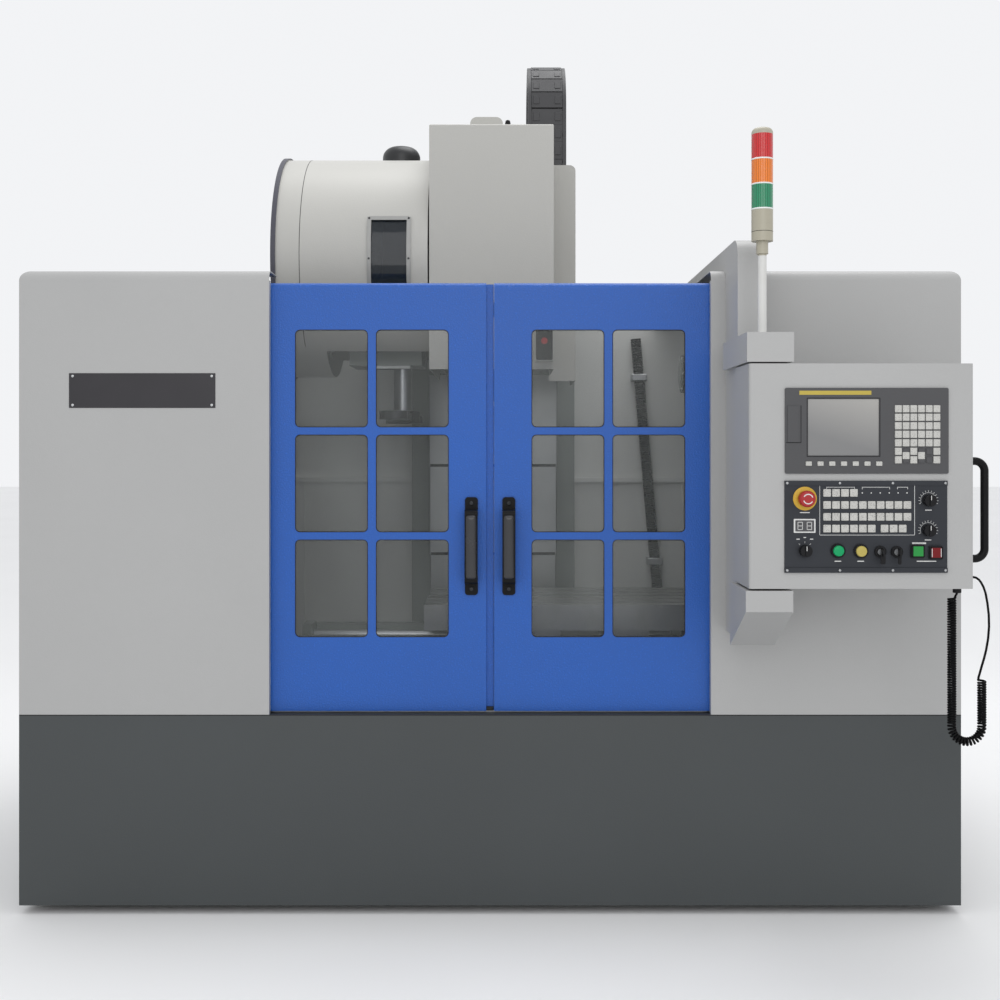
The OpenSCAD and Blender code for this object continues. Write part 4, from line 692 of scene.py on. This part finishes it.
keypad += [(columns[i], UNIT_FACE, levels[:2].mean()) for i in (1, 3)]  # arrow keys either side
pads("keypad_keys", "pendant", *KEYS, keypad, (16.6, 17.6), KEY_STEPS)
KEY_ROWS = ((1177.2, 4), (1147.6, 10), (1118.7, 10), (1090, 6))  # height and number of keys
rows = [(827.6 + 21.8 * k, PLATE_FACE, z) for z, count in KEY_ROWS for k in range(count)]
rows += [(x, PLATE_FACE, 1090) for x in (968.1, 990.1, 1012.2)]
pads("operator_keys", "pendant", *KEYS, rows, (18.7, 18.7), KEY_STEPS)
seam_lines = boxed((779, 957), (1266, 1409))  # round the screen, then beside the slot on its left
seam_lines += [[[764, 1300], [764, 1391]], [[727, 1300], [764, 1300]]]
printed("unit_seams", "pendant", *BLACK, seam_lines, UNIT_FACE, 1.6, 0.3)

# %% [markdown]
# ## The operator plate
# White print frames the key field, ticks ring the two override dials and two dull digits sit in a
# white-edged window. The emergency stop has a yellow shield under its red cap, and two white arcs
# on the cap show that it turns. Print could be a picture on the plate, but a picture has to be
# unwrapped and blurs close up. A flat section carried along lines and arcs stays sharp.

# %% Print on the plate
def arc(centre, radius, start, stop, count=14):
    """Points on a circle between two angles in degrees."""
    angle = np.radians(np.linspace(start, stop, count))
    return np.array(centre) + radius * np.stack([np.cos(angle), np.sin(angle)], axis=-1)


def ticks(centre, inner, outer, start, stop, count):
    """Short lines along the radius, at even angles."""
    angle = np.radians(np.linspace(start, stop, count))
    ray = np.stack([np.cos(angle), np.sin(angle)], axis=-1)
    return np.array(centre) + ray[:, None] * np.array([inner, outer])[None, :, None]


def on_plate(place, lift=0.0):
    """A place across and up on the operator plate, lifted from its face."""
    return place[0], PLATE_FACE - lift, place[1]


FEED, RATE, MODE, ESTOP = (1075.8, 1158.9), (1074.8, 1085.7), (773.5, 1035.7), (773.5, 1163.3)
SWEEP = (-20, 200)  # degrees that the two override dials cover
STOP_CAP, DIAL_TOP, OFF_TOP, SWITCH_TOP = PLATE_FACE - np.array([36.0, 23, 9, 5.6])  # depths
frame_lines = boxed((810, 1042), (1074, 1196))
for x0, x1 in ((827, 895), (914, 981), (1000, 1025)):  # brackets over groups of keys
    frame_lines += [[[x0, 1191], [x1, 1191]], [[x0, 1192], [x0, 1186]], [[x1, 1192], [x1, 1186]]]
printed("plate_lines", "pendant", *PRINT, frame_lines, PLATE_FACE, 1.1)
lights = [on_plate((x, 1177)) for x in (914, 936, 958, 980, 1001.6, 1023.4)]
turned("key_lights", "pendant", *PRINT, lights, [(1.7, 0), (1.5, 0.6), (0.8, 0.9)], around=12)
marks = [ticks(dial, 20, 24.5, *SWEEP, 13) for dial in (FEED, RATE)]
marks = np.concatenate([*marks, ticks(MODE, 18.5, 23, 50, 130, 3)])
printed("dial_ticks", "pendant", *PRINT, marks, PLATE_FACE, 0.9)
dial_arcs = [arc(dial, 19, *SWEEP) for dial in (FEED, RATE)]
printed("dial_arcs", "pendant", *PRINT, dial_arcs, PLATE_FACE, 0.7)
CAPTIONS = ((854.3, 1010, 8), (910.1, 1010, 8), (1075.8, 1135, 8), (1074.8, 1062, 8),
            (773.5, 1129, 12), (1071, 1010, 24), (757, 1064, 4), (773.5, 1068, 3), (790, 1064, 4))
captions = [[[x - half, z], [x + half, z]] for x, z, half in CAPTIONS]
printed("plate_captions", "pendant", *PRINT, captions, PLATE_FACE, 2.2)

# %% [markdown]
# ## Buttons, locks, dials and glands
# Push buttons are domes in black bezels, square switches have a black frame, and each lock has a
# black ring, a key with a dark bow and a spare key under it. The lead's two glands have a six-sided
# foot. What is round is a profile turned about its axis, which needs only a few pairs of radius and
# rise. A bezel is hollow, so its profile closes on itself instead of running to a point.

# %% Stop, bezels and domes
SHIELD_YELLOW = moulded("shield_yellow", (196, 156, 36), 0.4)
turned("estop_shield", "pendant", SHIELD_YELLOW, "amber", [on_plate(ESTOP)],
       [(29, 0), (29, 1.8), (27.5, 2.6), (12, 2.7)], around=48)
stop_arcs = [arc(ESTOP, 11.5, 20, 150), arc(ESTOP, 11.5, 200, 330)]
printed("estop_arcs", "estop", *PRINT, stop_arcs, STOP_CAP, 2.4, 0.2)
START, HOLD = (854.3, 1035.7), (910.1, 1034.8)
BEZEL = [(13.6, 0), (17.6, 0), (17.6, 5.4), (16.6, 6.6), (14.4, 6.6), (13.6, 5.6), (13.6, 0)]
DOME = [(13.1, 0), (13.1, 2), (12, 3.6), (8, 4.8), (3, 5.2)]
radii, rises = np.array(BEZEL).T[..., None]
angles = np.arange(33) * 2 * np.pi / 32
for name, at in (("start_bezel", START), ("hold_bezel", HOLD)):
    loop = np.stack([at[0] + radii * np.cos(angles), PLATE_FACE - rises + 0 * angles,
                     at[1] + radii * np.sin(angles)], axis=-1)
    piece(name, "pendant", *BLACK, loop[None])
turned("start_dome", "start", BUTTON_GREEN, "green", [on_plate(START, 8)], DOME)
turned("hold_dome", "hold", BUTTON_AMBER, "amber", [on_plate(HOLD, 8)], DOME)

# %% Switches, locks and dials
SWITCHES, SWITCH_HALF = ((1048.7, 1034.8), (1093, 1031.3)), 14.3
# each lock: the body that turns, its place, and the width of the spare key
LOCKS = (("left_key", (957.6, 1033.5), 12), ("right_key", (998.2, 1032.8), 8))
frames = [line for x, z in SWITCHES for line in boxed((x - SWITCH_HALF, x + SWITCH_HALF),
                                                      (z - SWITCH_HALF, z + SWITCH_HALF))]
printed("switch_frames", "pendant", *BLACK, frames, SWITCH_TOP, 4.4, 1.2)
turned("lock_rings", "pendant", *BLACK, [on_plate(at) for _, at, _ in LOCKS],
       [(14.5, 0), (14.5, 4.5), (12.6, 6.4), (9.4, 6.6)])
for body, (x, z), width in LOCKS:
    pads(body + "_bow", body, *BLACK, [on_plate((x, z), 15.5)], (5, 20),
         [(0, 0), (0, 18.6), (1, 19.4)], radius=2)
    pads(body + "_spare", body, *BLACK, [on_plate((x, z - 18), 23)], (width, 22),
         [(0, 0), (0, 2.6), (0.6, 3.2)], radius=3.6)
printed("switch_strip", "pendant", *PRINT, [[[1036, 1054], [1070, 1054]]], PLATE_FACE, 4.0)
off_sides = [[[1093 + d, 1021], [1093 + d, 1041.6]] for d in (-11, 11)]
printed("power_off_sides", "power_off", *PRINT, off_sides, OFF_TOP, 1.4)
for name, body, (x, z) in (("mode_pointer", "mode_dial", MODE), ("feed_pointer", "feed_dial", FEED),
                           ("rate_pointer", "spindle_dial", RATE)):
    printed(name, body, *PRINT, [[[x, z + 1], [x, z + 12]]], DIAL_TOP, 1.6)

# %% Readout, glands and plate screws
READOUT = (772.75, 1096.5)
pads("readout_window", "pendant", *PRINT, [on_plate(READOUT)], (53, 34),
     [(0, 0), (0, 2.1), (0.6, 2.5)])
pads("readout_dark", "pendant", UNIT_DARK, "dark_unit", [on_plate(READOUT, 2.4)], (46, 27.5),
     [(0, 0), (0, 0.4), (0.3, 0.5)])
segments = [line for x in (761.5, 784) for z in (1087.5, 1096.5)
            for line in boxed((x - 5.5, x + 5.5), (z, z + 9))]
printed("readout_digits", "pendant", *PRINT, segments, PLATE_FACE - 2.9, 1.3, 0.2)
GLAND = [(12.4, 0), (12.4, 6), (10.6, 7), (10.6, 16.3), (9, 17.2), (3.4, 17.5)]
for name, side, x, z in (("lead_gland", "under", 1171, 942), ("return_gland", "right", 1188, 964)):
    turned(name, "pendant", *BLACK, [(x, CORD_BACK, z)], GLAND, side, around=24, hexes=(0, 1))
plate_screws = [on_plate((x, z), 3) for x in (730, 858.5, 988, 1116.5) for z in (1201, 988)]
screws("plate_screws", "pendant", SCREW_STEEL, plate_screws)

# %% [markdown]
# ## Doors and guarding
# The pulls have a smooth sleeve and a socket screw at each end, and a rubber seal runs round every
# pane. A rubber block stops the doors at the foot of the centre strip, and a dark strip of painted
# shadow marks the shaded gap where the side guards sit on the skirt. A bare black plate is riveted
# to the left side guard. The doors mirror each other, so one loop with a sign makes both, and each
# piece rides on its own door.

# %% Door and guard details
PULL_SLEEVE = moulded("pull_sleeve", (44, 44, 46), 0.24)
SEAL = (moulded("rubber", (20, 20, 21), 0.6, 700.0, 0.0003), "black_plastic")
PULL_X, GUARD_X = 52, 1300.0  # from the spindle axis to the pulls and to the guards' outside
for side_name, sign in (("left", -1), ("right", 1)):
    door = side_name + "_door"
    pull_ends = [(sign * PULL_X, 22, z) for z in (896, 1134)]
    screws(side_name + "_pull_screws", door, GUN_STEEL, pull_ends, wide=1.9, high=1.6)
    pads(side_name + "_pull_sleeve", door, PULL_SLEEVE, "black_plastic",
         [(sign * PULL_X, -15, 1015)], (31, 176),
         [(0, 0), (0.4, 3), (2.5, 6), (7, 8.4), (12, 9.2)], radius=8)
    panes = np.array([(sign * x, z) for x in (216.5, 441.5) for z in (897, 1189, 1481)])
    edge = panes[:, None] + rounded(203, 272, 14, -0.2)
    edge = np.concatenate([edge, edge[:, :1]], axis=1)
    printed(side_name + "_window_seals", door, *SEAL, edge, 31.0, 5.0, 1.6)
pads("door_stop", "left_door", *SEAL, [(-1, 37.9, 562)], (20, 11), [(0, 0), (0, 5), (1.5, 7)])
# painted shadow: a dark strip stands for the shaded gap where the side guards meet the skirt
printed("skirt_painted_shadow_gap", "frame", *SEAL, [[[-GUARD_X, 550], [GUARD_X, 550]]], 0.1, 3.0, 0.4)
BARE_PLATE = moulded("bare_black_plate", (38, 36, 40), 0.35)
pads("bare_plate", "frame", BARE_PLATE, "dark_unit", [(-960, 0, 1446)], (404, 96),
     [(0, 0), (0, 0.8), (0.5, 1.2)], radius=1.0)
rivets = [(x, -1.2, z) for x in (-1152, -768) for z in (1406, 1486)]
turned("plate_rivets", "frame", SCREW_STEEL, "steel", rivets, [(4, 0), (3.6, 1), (2, 1.8)],
       around=14)

# %% Side guard joints and bolts
for side_name, sign in (("left", -1), ("right", 1)):
    x = sign * GUARD_X
    joints = [[[x, back, 552.0], [x, back, 1735.0]] for back in (440.0, 880.0)]
    bands(side_name + "_guard_joints", "frame", *SEAL, joints, (0, 1.3, 0), (sign * 0.4, 0, 0))
    bolts = [(x, back, z) for back in (60, 410, 470, 850, 910, 1270) for z in (590, 1140, 1690)]
    screws(side_name + "_guard_bolts", "frame", SCREW_STEEL, bolts, 1.8, 1.5, side_name)

# %% [markdown]
# ## Tool magazine and head
# The drum's outer end is edged with a dark rubber trim that follows the circle, and the sheet has
# one joint round it. The inspection window has a metal frame held by six screws. Straight strips
# bent by a modifier would have to be fitted by eye, so trim, joint and frame are sections carried
# round the drum's own circle. A pale light strip hangs under the drum.

# %% Drum trim and joint
DRUM_BACK, DRUM_UP, DRUM_R = 829.0, 1895.0, 365.0  # axis and radius of the drum


def round_drum(x, radius, start, stop, count=97):
    """Points and outward rays on the drum's circle in the plane at x; 90 degrees is the top."""
    angle = np.radians(np.linspace(start, stop, count))
    out = np.stack([0 * angle, -np.cos(angle), np.sin(angle)], axis=-1)
    return np.array([x, DRUM_BACK, DRUM_UP]) + radius * out, out


TRIM_RUBBER = moulded("trim_rubber", (66, 66, 76), 0.5)
path, out = round_drum(-683, DRUM_R + 3.6, -180, 180)
bands("drum_trim", "frame", TRIM_RUBBER, "black_plastic", path[None], (7.5, 0, 0), out[None] * 3.0)
path, out = round_drum(-601, DRUM_R - 0.2, -50, 230)
bands("drum_joint", "frame", *SEAL, path[None], (0.9, 0, 0), out[None] * 0.6)

# %% Inspection window
WINDOW_X, FRAME_R, FRAME_HALF, FRAME_THICK = (-383.0, -259.0), DRUM_R + 4.0, 6.5, 1.2
WINDOW_METAL = brushed("window_frame_metal", (160, 160, 158), (700.0, 40.0, 40.0), 0.58, 0.1)
uprights = [round_drum(x, FRAME_R, -24.5, 18.7, 41) for x in WINDOW_X]
bands("window_frame_sides", "frame", WINDOW_METAL, "steel", [path for path, _ in uprights],
      (FRAME_HALF, 0, 0), [FRAME_THICK * out for _, out in uprights])
rails = np.array([[round_drum(x, FRAME_R, angle, angle, 1) for x in WINDOW_X]
                  for angle in (-23.8, 18.0)])
path, out = rails[:, :, 0, 0], rails[:, :, 1, 0]
rail_half = FRAME_HALF * np.stack([0 * out[..., 0], out[..., 2], -out[..., 1]], axis=-1)
bands("window_frame_rails", "frame", WINDOW_METAL, "steel", path, rail_half, FRAME_THICK * out)
screw_x, screw_z = np.meshgrid(WINDOW_X, (1752.0, 1880.0, 2009.0))
screw_back = DRUM_BACK - np.sqrt((DRUM_R + 4.8) ** 2 - (screw_z - DRUM_UP) ** 2)
window_screws = np.stack([screw_x, screw_back, screw_z], axis=-1).reshape(-1, 3)
screws("window_screws", "frame", GUN_STEEL, window_screws)

# %% Light strip, release plate and head gland
LIGHT_STRIP = moulded("light_strip", (232, 234, 232), 0.3)
pads("light_strip", "frame", LIGHT_STRIP, "tower_beige", [(-330, 700, 1560)], (120, 24),
     [(0, 0), (0, 7), (2, 9)], side="under", radius=4)
pads("release_plate", "head", *BLACK, [(164, 430, 1608)], (52, 94), [(0, 0), (0, 1.4), (1, 2.0)],
     radius=4)
turned("head_gland", "head", *BLACK, [(52, 640, 2302)],
       [(12, 0), (12, 8), (9, 10), (9, 46), (7, 54), (3, 56)], side="top", around=20, hexes=(0, 1))

# %% [markdown]
# ## Lids on the cable chain
# Each link is closed by a dark lid with two raised lugs. The links follow the loop up, round the
# half circle and down again. Array and Curve modifiers could lay them out, but would bend each lid
# with the loop. Here a lid stays flat: it has a place, an outward direction and a direction along
# the loop, all worked out from its distance along the outside.

# %% Chain lids
CHAIN_X, CHAIN_R, CHAIN_MID, CHAIN_END, LINK = 192.5, 184.0, (1169.0, 2496.0), 1950.0, 60.0


def on_loop(s):
    """Place, outward and along directions on the chain's outside, s from its head end."""
    rise = CHAIN_MID[1] - CHAIN_END
    turn = np.clip((s - rise) / CHAIN_R, 0, np.pi)
    out = np.stack([0 * s, -np.cos(turn), np.sin(turn)], axis=-1)
    ahead = np.stack([0 * s, np.sin(turn), np.cos(turn)], axis=-1)
    straight = np.minimum(s - rise, 0) - np.maximum(s - rise - np.pi * CHAIN_R, 0)
    place = np.stack([CHAIN_X + 0 * s, CHAIN_MID[0] + CHAIN_R * out[:, 1],
                      CHAIN_MID[1] + CHAIN_R * out[:, 2] + straight], axis=-1)
    return place, out, ahead


loop_length = 2 * (CHAIN_MID[1] - CHAIN_END) + np.pi * CHAIN_R
place, out, ahead = on_loop(np.arange(LINK / 2, loop_length - LINK / 2, LINK))
sideways = np.tile([1.0, 0.0, 0.0], (len(place), 1))
LIDS = ("chain_lids", (110, 57), -8, (0,), [(0, 0), (0, 5), (1.5, 6.5)])
LUGS = ("chain_lugs", (22, 30), -2.5, (-38, 38), [(0, 0), (0, 2), (1, 3)])
for name, size, lift, spread, steps in (LIDS, LUGS):
    centres = np.concatenate([place + lift * out + d * sideways for d in spread])
    directions = [np.tile(d, (len(spread), 1)) for d in (sideways, ahead, out)]
    outlines = np.array([rounded(*size, 2.0, inset) for inset, _ in steps])
    rises = np.array([rise for _, rise in steps], float)
    blocks = stacked(centres, outlines, rises, directions)
    piece(name, "cable_chain", CHAIN_NYLON, "chain_plastic", blocks, columns_close=True)

# %% [markdown]
# ## Signal tower and work lamp
# Clear rings part the lenses of the tower, and a dark joint lies below them. The lamp inside the
# guarding has a domed glass held by six screws. All of them are round, so they are turned from a
# profile, as a lathe would do it.

# %% Rings and lamp glass
CLEAR_RING = moulded("clear_ring", (222, 226, 224), 0.15)
turned("tower_rings", "frame", CLEAR_RING, "tower_beige", [(*TOWER, z) for z in (1891, 1954, 2017)],
       [(27.2, -1.8), (27.8, -1.0), (27.8, 1.0), (27.2, 1.8)], side="top", around=48)
turned("tower_joint", "frame", *BLACK, [(*TOWER, 1834)],
       [(27.1, -0.6), (27.3, -0.3), (27.3, 0.3), (27.1, 0.6)], side="top", around=48)
LAMP, LAMP_SCREW_R = (604, 550, 1524), 56
LAMP_GLASS = moulded("lamp_glass", (84, 92, 90), 0.15, 300.0, 0.0006)
turned("lamp_glass", "frame", LAMP_GLASS, "glass", [LAMP],
       [(52, -1), (52, 1.4), (47, 3.2), (30, 5), (12, 5.6)], side="left", around=40)
lamp_screws = [(LAMP[0], LAMP[1] + LAMP_SCREW_R * np.cos(a), LAMP[2] + LAMP_SCREW_R * np.sin(a))
               for a in np.arange(6) * np.pi / 3]
screws("lamp_screws", "frame", SCREW_STEEL, lamp_screws, side="left")

# %% [markdown]
# ## Ribbed conduit
# Cables climb the rear wall in a corrugated hose. It could be a pipe with a bump, but its ribs show
# in its outline, so they are real: the radius is a cosine of the distance along it. The hose leans
# a little, so its two cross directions are worked out from the line it follows.

# %% Conduit
FOOT, HEAD = np.array([621.0, 1285.0, 716.0]), np.array([536.0, 1285.0, 1703.0])
HOSE_R, RIB_DEPTH, RIB_PITCH = 19.2, 1.7, 8.5
length = np.linalg.norm(HEAD - FOOT)
along = np.linspace(0, 1, int(length / 1.5))
axis = (HEAD - FOOT) / length
sideways, backwards = np.array([axis[2], 0, -axis[0]]), np.array([0, 1.0, 0])
ribs = HOSE_R + RIB_DEPTH * np.cos(2 * np.pi * along * length / RIB_PITCH)
radius = np.where((along > 0.002) & (along < 0.998), ribs, 0.0)[:, None, None]  # closed ends
angle = (np.arange(16) * 2 * np.pi / 16)[None, :, None]
hose = FOOT + along[:, None, None] * (HEAD - FOOT)
hose = hose + radius * (np.cos(angle) * sideways + np.sin(angle) * backwards)
conduit = piece("ribbed_conduit", "frame", *BLACK, hose[None], columns_close=True)
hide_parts("wall_conduit")
clips = [FOOT + share * (HEAD - FOOT) + 42 * backwards for share in (0.15, 0.85)]
pads("conduit_clips", "frame", STEEL, "steel", clips, (58, 26), [(0, 0), (0, 62), (3, 66)])

# %% [markdown]
# ## Telescopic way covers
# Folded steel covers slide over each other as the saddle and the head move. Each panel is a sheet
# folded at its sides, carried over the length of the panel. One sheet that stretches would look
# wrong, so each panel is a piece of its own, with its placement baked into its mesh. On the upright
# cover each panel but the lowest ends in a rubber wiper that cleans the one behind it.

# %% Shares and folds
SHEET = 2.0  # thickness of the covers


def shared(panel):
    """Bake a panel's placement into its mesh."""
    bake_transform(panel)


def folded(half_width, drop, radius=4.0):
    """Across the sheet: up one side, over a round edge, across, and down the other side."""
    turn = np.linspace(np.pi, np.pi / 2, 5)
    left = np.stack([-half_width + radius + radius * np.cos(turn),
                     -radius + radius * np.sin(turn)], axis=-1)
    half = np.concatenate([[[-half_width, -drop]], left])
    return np.concatenate([half, half[::-1] * [-1, 1]])


print("sheet of the covers:", SHEET, "mm")

# %% Covers of the saddle's way
Y_PANEL, Y_FRONT, Y_STEP = 187.0, 26.0, 83.7  # length of a panel, front end and spacing at rest
Y_HALF, Y_DROP, Y_TOP, STEP_UP = 380, 60, 543, 4  # first panel, and how far each next one clears it
for k in range(4):
    fold = folded(Y_HALF + STEP_UP * k, Y_DROP)
    back = Y_FRONT + Y_STEP * k + Y_PANEL / 2
    path = np.stack([fold[:, 0], np.full(len(fold), back), Y_TOP + STEP_UP * k + fold[:, 1]],
                    axis=-1)
    inward = np.array([0, back, 480.0]) - path
    inward *= SHEET / np.linalg.norm(inward, axis=1, keepdims=True)
    panel = bands("y_cover_" + str(k + 1), None, COVER_STEEL, "steel", path[None],
                  (0, Y_PANEL / 2, 0), inward[None])
    shared(panel)
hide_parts("y_way_cover")

# %% Covers of the head's way
Z_EDGES, Z_SHARES, Z_LAP = (474, 768, 913, 1240, 1560), (0.0, 0.3, 0.65, 1.0), 20
Z_HALF, Z_DROP, Z_FACE = 232, 12, 1217
for k in range(4):
    low, high = Z_EDGES[k] - (Z_LAP if k else 0), Z_EDGES[k + 1]
    fold, face = folded(Z_HALF + 2 * k, Z_DROP), Z_FACE - STEP_UP * k
    path = np.stack([fold[:, 0], face - fold[:, 1], np.full(len(fold), (low + high) / 2)], axis=-1)
    panel = bands("z_cover_" + str(k + 1), None, COVER_STEEL, "steel", path[None],
                  (0, 0, (high - low) / 2), (0, SHEET, 0))
    shared(panel)
    if k:
        lip = [[[sign * (Z_HALF - 6 + 2 * k), face, low + 5] for sign in (-1, 1)]]
        wiper = bands("z_wiper_" + str(k), None, *BLACK, lip, (0, 0, 5.0), (0, -3.0, 0))
        shared(wiper)
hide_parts("z_way_cover")

# %% [markdown]
# ## Back of the machine
# The cabinet door has pressed louvres for the warm air of the drives, and a dark plate lies under
# its latch. Cutting slits into the door would change the solid, so a louvre lies on it: half a
# flattened dome, whose height falls off along its length and across its width.

# %% Louvres
DOOR_BACK = 2172  # depth of the cabinet door's face
HOOD, LOUVRE_HALF, LOUVRE_HIGH, LOUVRE_STEP = 11, 110, 18, 26
u, w = np.meshgrid(np.linspace(-1, 1, 15), np.linspace(0, 1, 7), indexing="ij")
hood = HOOD * np.sqrt(np.clip(1 - u ** 6, 0, 1)) * np.sqrt(w) * np.clip((1.02 - w) * 60, 0, 1)
places = np.array([(x, z) for low in (640, 1620) for x in (-300, 0, 300)
                   for z in np.arange(low, low + 220, LOUVRE_STEP)])
across, up = places.T[..., None, None]
louvres = np.stack([across - LOUVRE_HALF * u, DOOR_BACK + hood + 0 * across,
                    up + LOUVRE_HIGH - LOUVRE_HIGH * w], axis=-1)
piece("cabinet_louvres", "cabinet_door", PANEL_GREY, "panel_grey", louvres)
pads("latch_plate", "cabinet_door", *BLACK, [(498, DOOR_BACK, 1275)], (54, 150),
     [(0, 0), (0, 3), (1.5, 4)], side="back", radius=6)

# %% [markdown]
# ## Inside the cabinet
# Behind the door stand five drives with dark fronts, each with a small display and a row of
# terminals, a rail of circuit breakers below them, and a transformer on the floor whose core is a
# pack of sheets. They are rows of the same low blocks as the keys, facing backwards, so they need
# no new helper.

# %% Drives, breakers and core
DRIVES = -370 + 150.0 * np.arange(5)
DRIVE_BACK, RAIL_BACK, CORE_BACK = 2000.0, 1910.0, 2040.0
pads("drive_fronts", "frame", UNIT_DARK, "dark_unit", [(x, DRIVE_BACK, 1690) for x in DRIVES],
     (110, 366), [(0, 0), (0, 4), (2, 6)], side="back", radius=4)
pads("drive_displays", "frame", SCREEN, "dark_unit", [(x, DRIVE_BACK + 6, 1810) for x in DRIVES],
     (52, 24), [(0, 0), (0, 0.8), (0.6, 1.2)], side="back")
drive_keys = [(x + d, DRIVE_BACK + 6, 1778) for x in DRIVES for d in (-21, -7, 7, 21)]
pads("drive_keys", "frame", *KEYS, drive_keys, (10, 10), KEY_STEPS, side="back")
terminals = [(x + d, DRIVE_BACK + 6, z) for x in DRIVES for d in np.arange(-42, 43, 14)
             for z in (1540, 1580)]
pads("drive_terminals", "frame", SQUARE_GREEN, "green", terminals, (12, 22),
     [(0, 0), (0, 6), (1, 8), (3.5, 8), (3.8, 4)], side="back")
breakers = [(x, RAIL_BACK, 1215) for x in np.arange(-390, 391, 39)]
pads("breaker_bodies", "frame", *KEYS, breakers, (35, 70), [(0, 0), (0, 12), (1.5, 14)],
     side="back")
levers = [(x, RAIL_BACK + 14, z + 6) for x, _, z in breakers]
pads("breaker_levers", "frame", *BLACK, levers, (14, 18), [(0, 0), (0.5, 5), (2, 7)], side="back")
sheets = [(-260, CORE_BACK, z) for z in np.arange(525, 790, 22)]
pads("core_sheets", "frame", GUN_STEEL, "steel", sheets, (272, 12), [(0, 0), (0, 3), (1.5, 4)],
     side="back")

# %% [markdown]
# ## Floor
# The floor is a plain pale sheet that belongs to the studio and not to the machine.

# %% Floor, size and finish
REACH = 40  # metres from the middle to the floor's edges
floor_mesh = bpy.data.meshes.new("studio_floor")
floor_mesh.from_pydata([(-REACH, -REACH, 0), (REACH, -REACH, 0), (REACH, REACH, 0),
                        (-REACH, REACH, 0)], [], [(0, 1, 2, 3)])
floor_finish = Finish("studio_floor")
pale = floor_finish.mix(floor_finish.noise(0.4, 3.0), tint(236, 236, 236), tint(244, 244, 244))
floor_finish.coat(Base_Color=pale, Roughness=0.9)
floor_mesh.materials.append(floor_finish.material)
floor = bpy.data.objects.new("studio_floor", floor_mesh)
bpy.context.scene.collection.objects.link(floor)
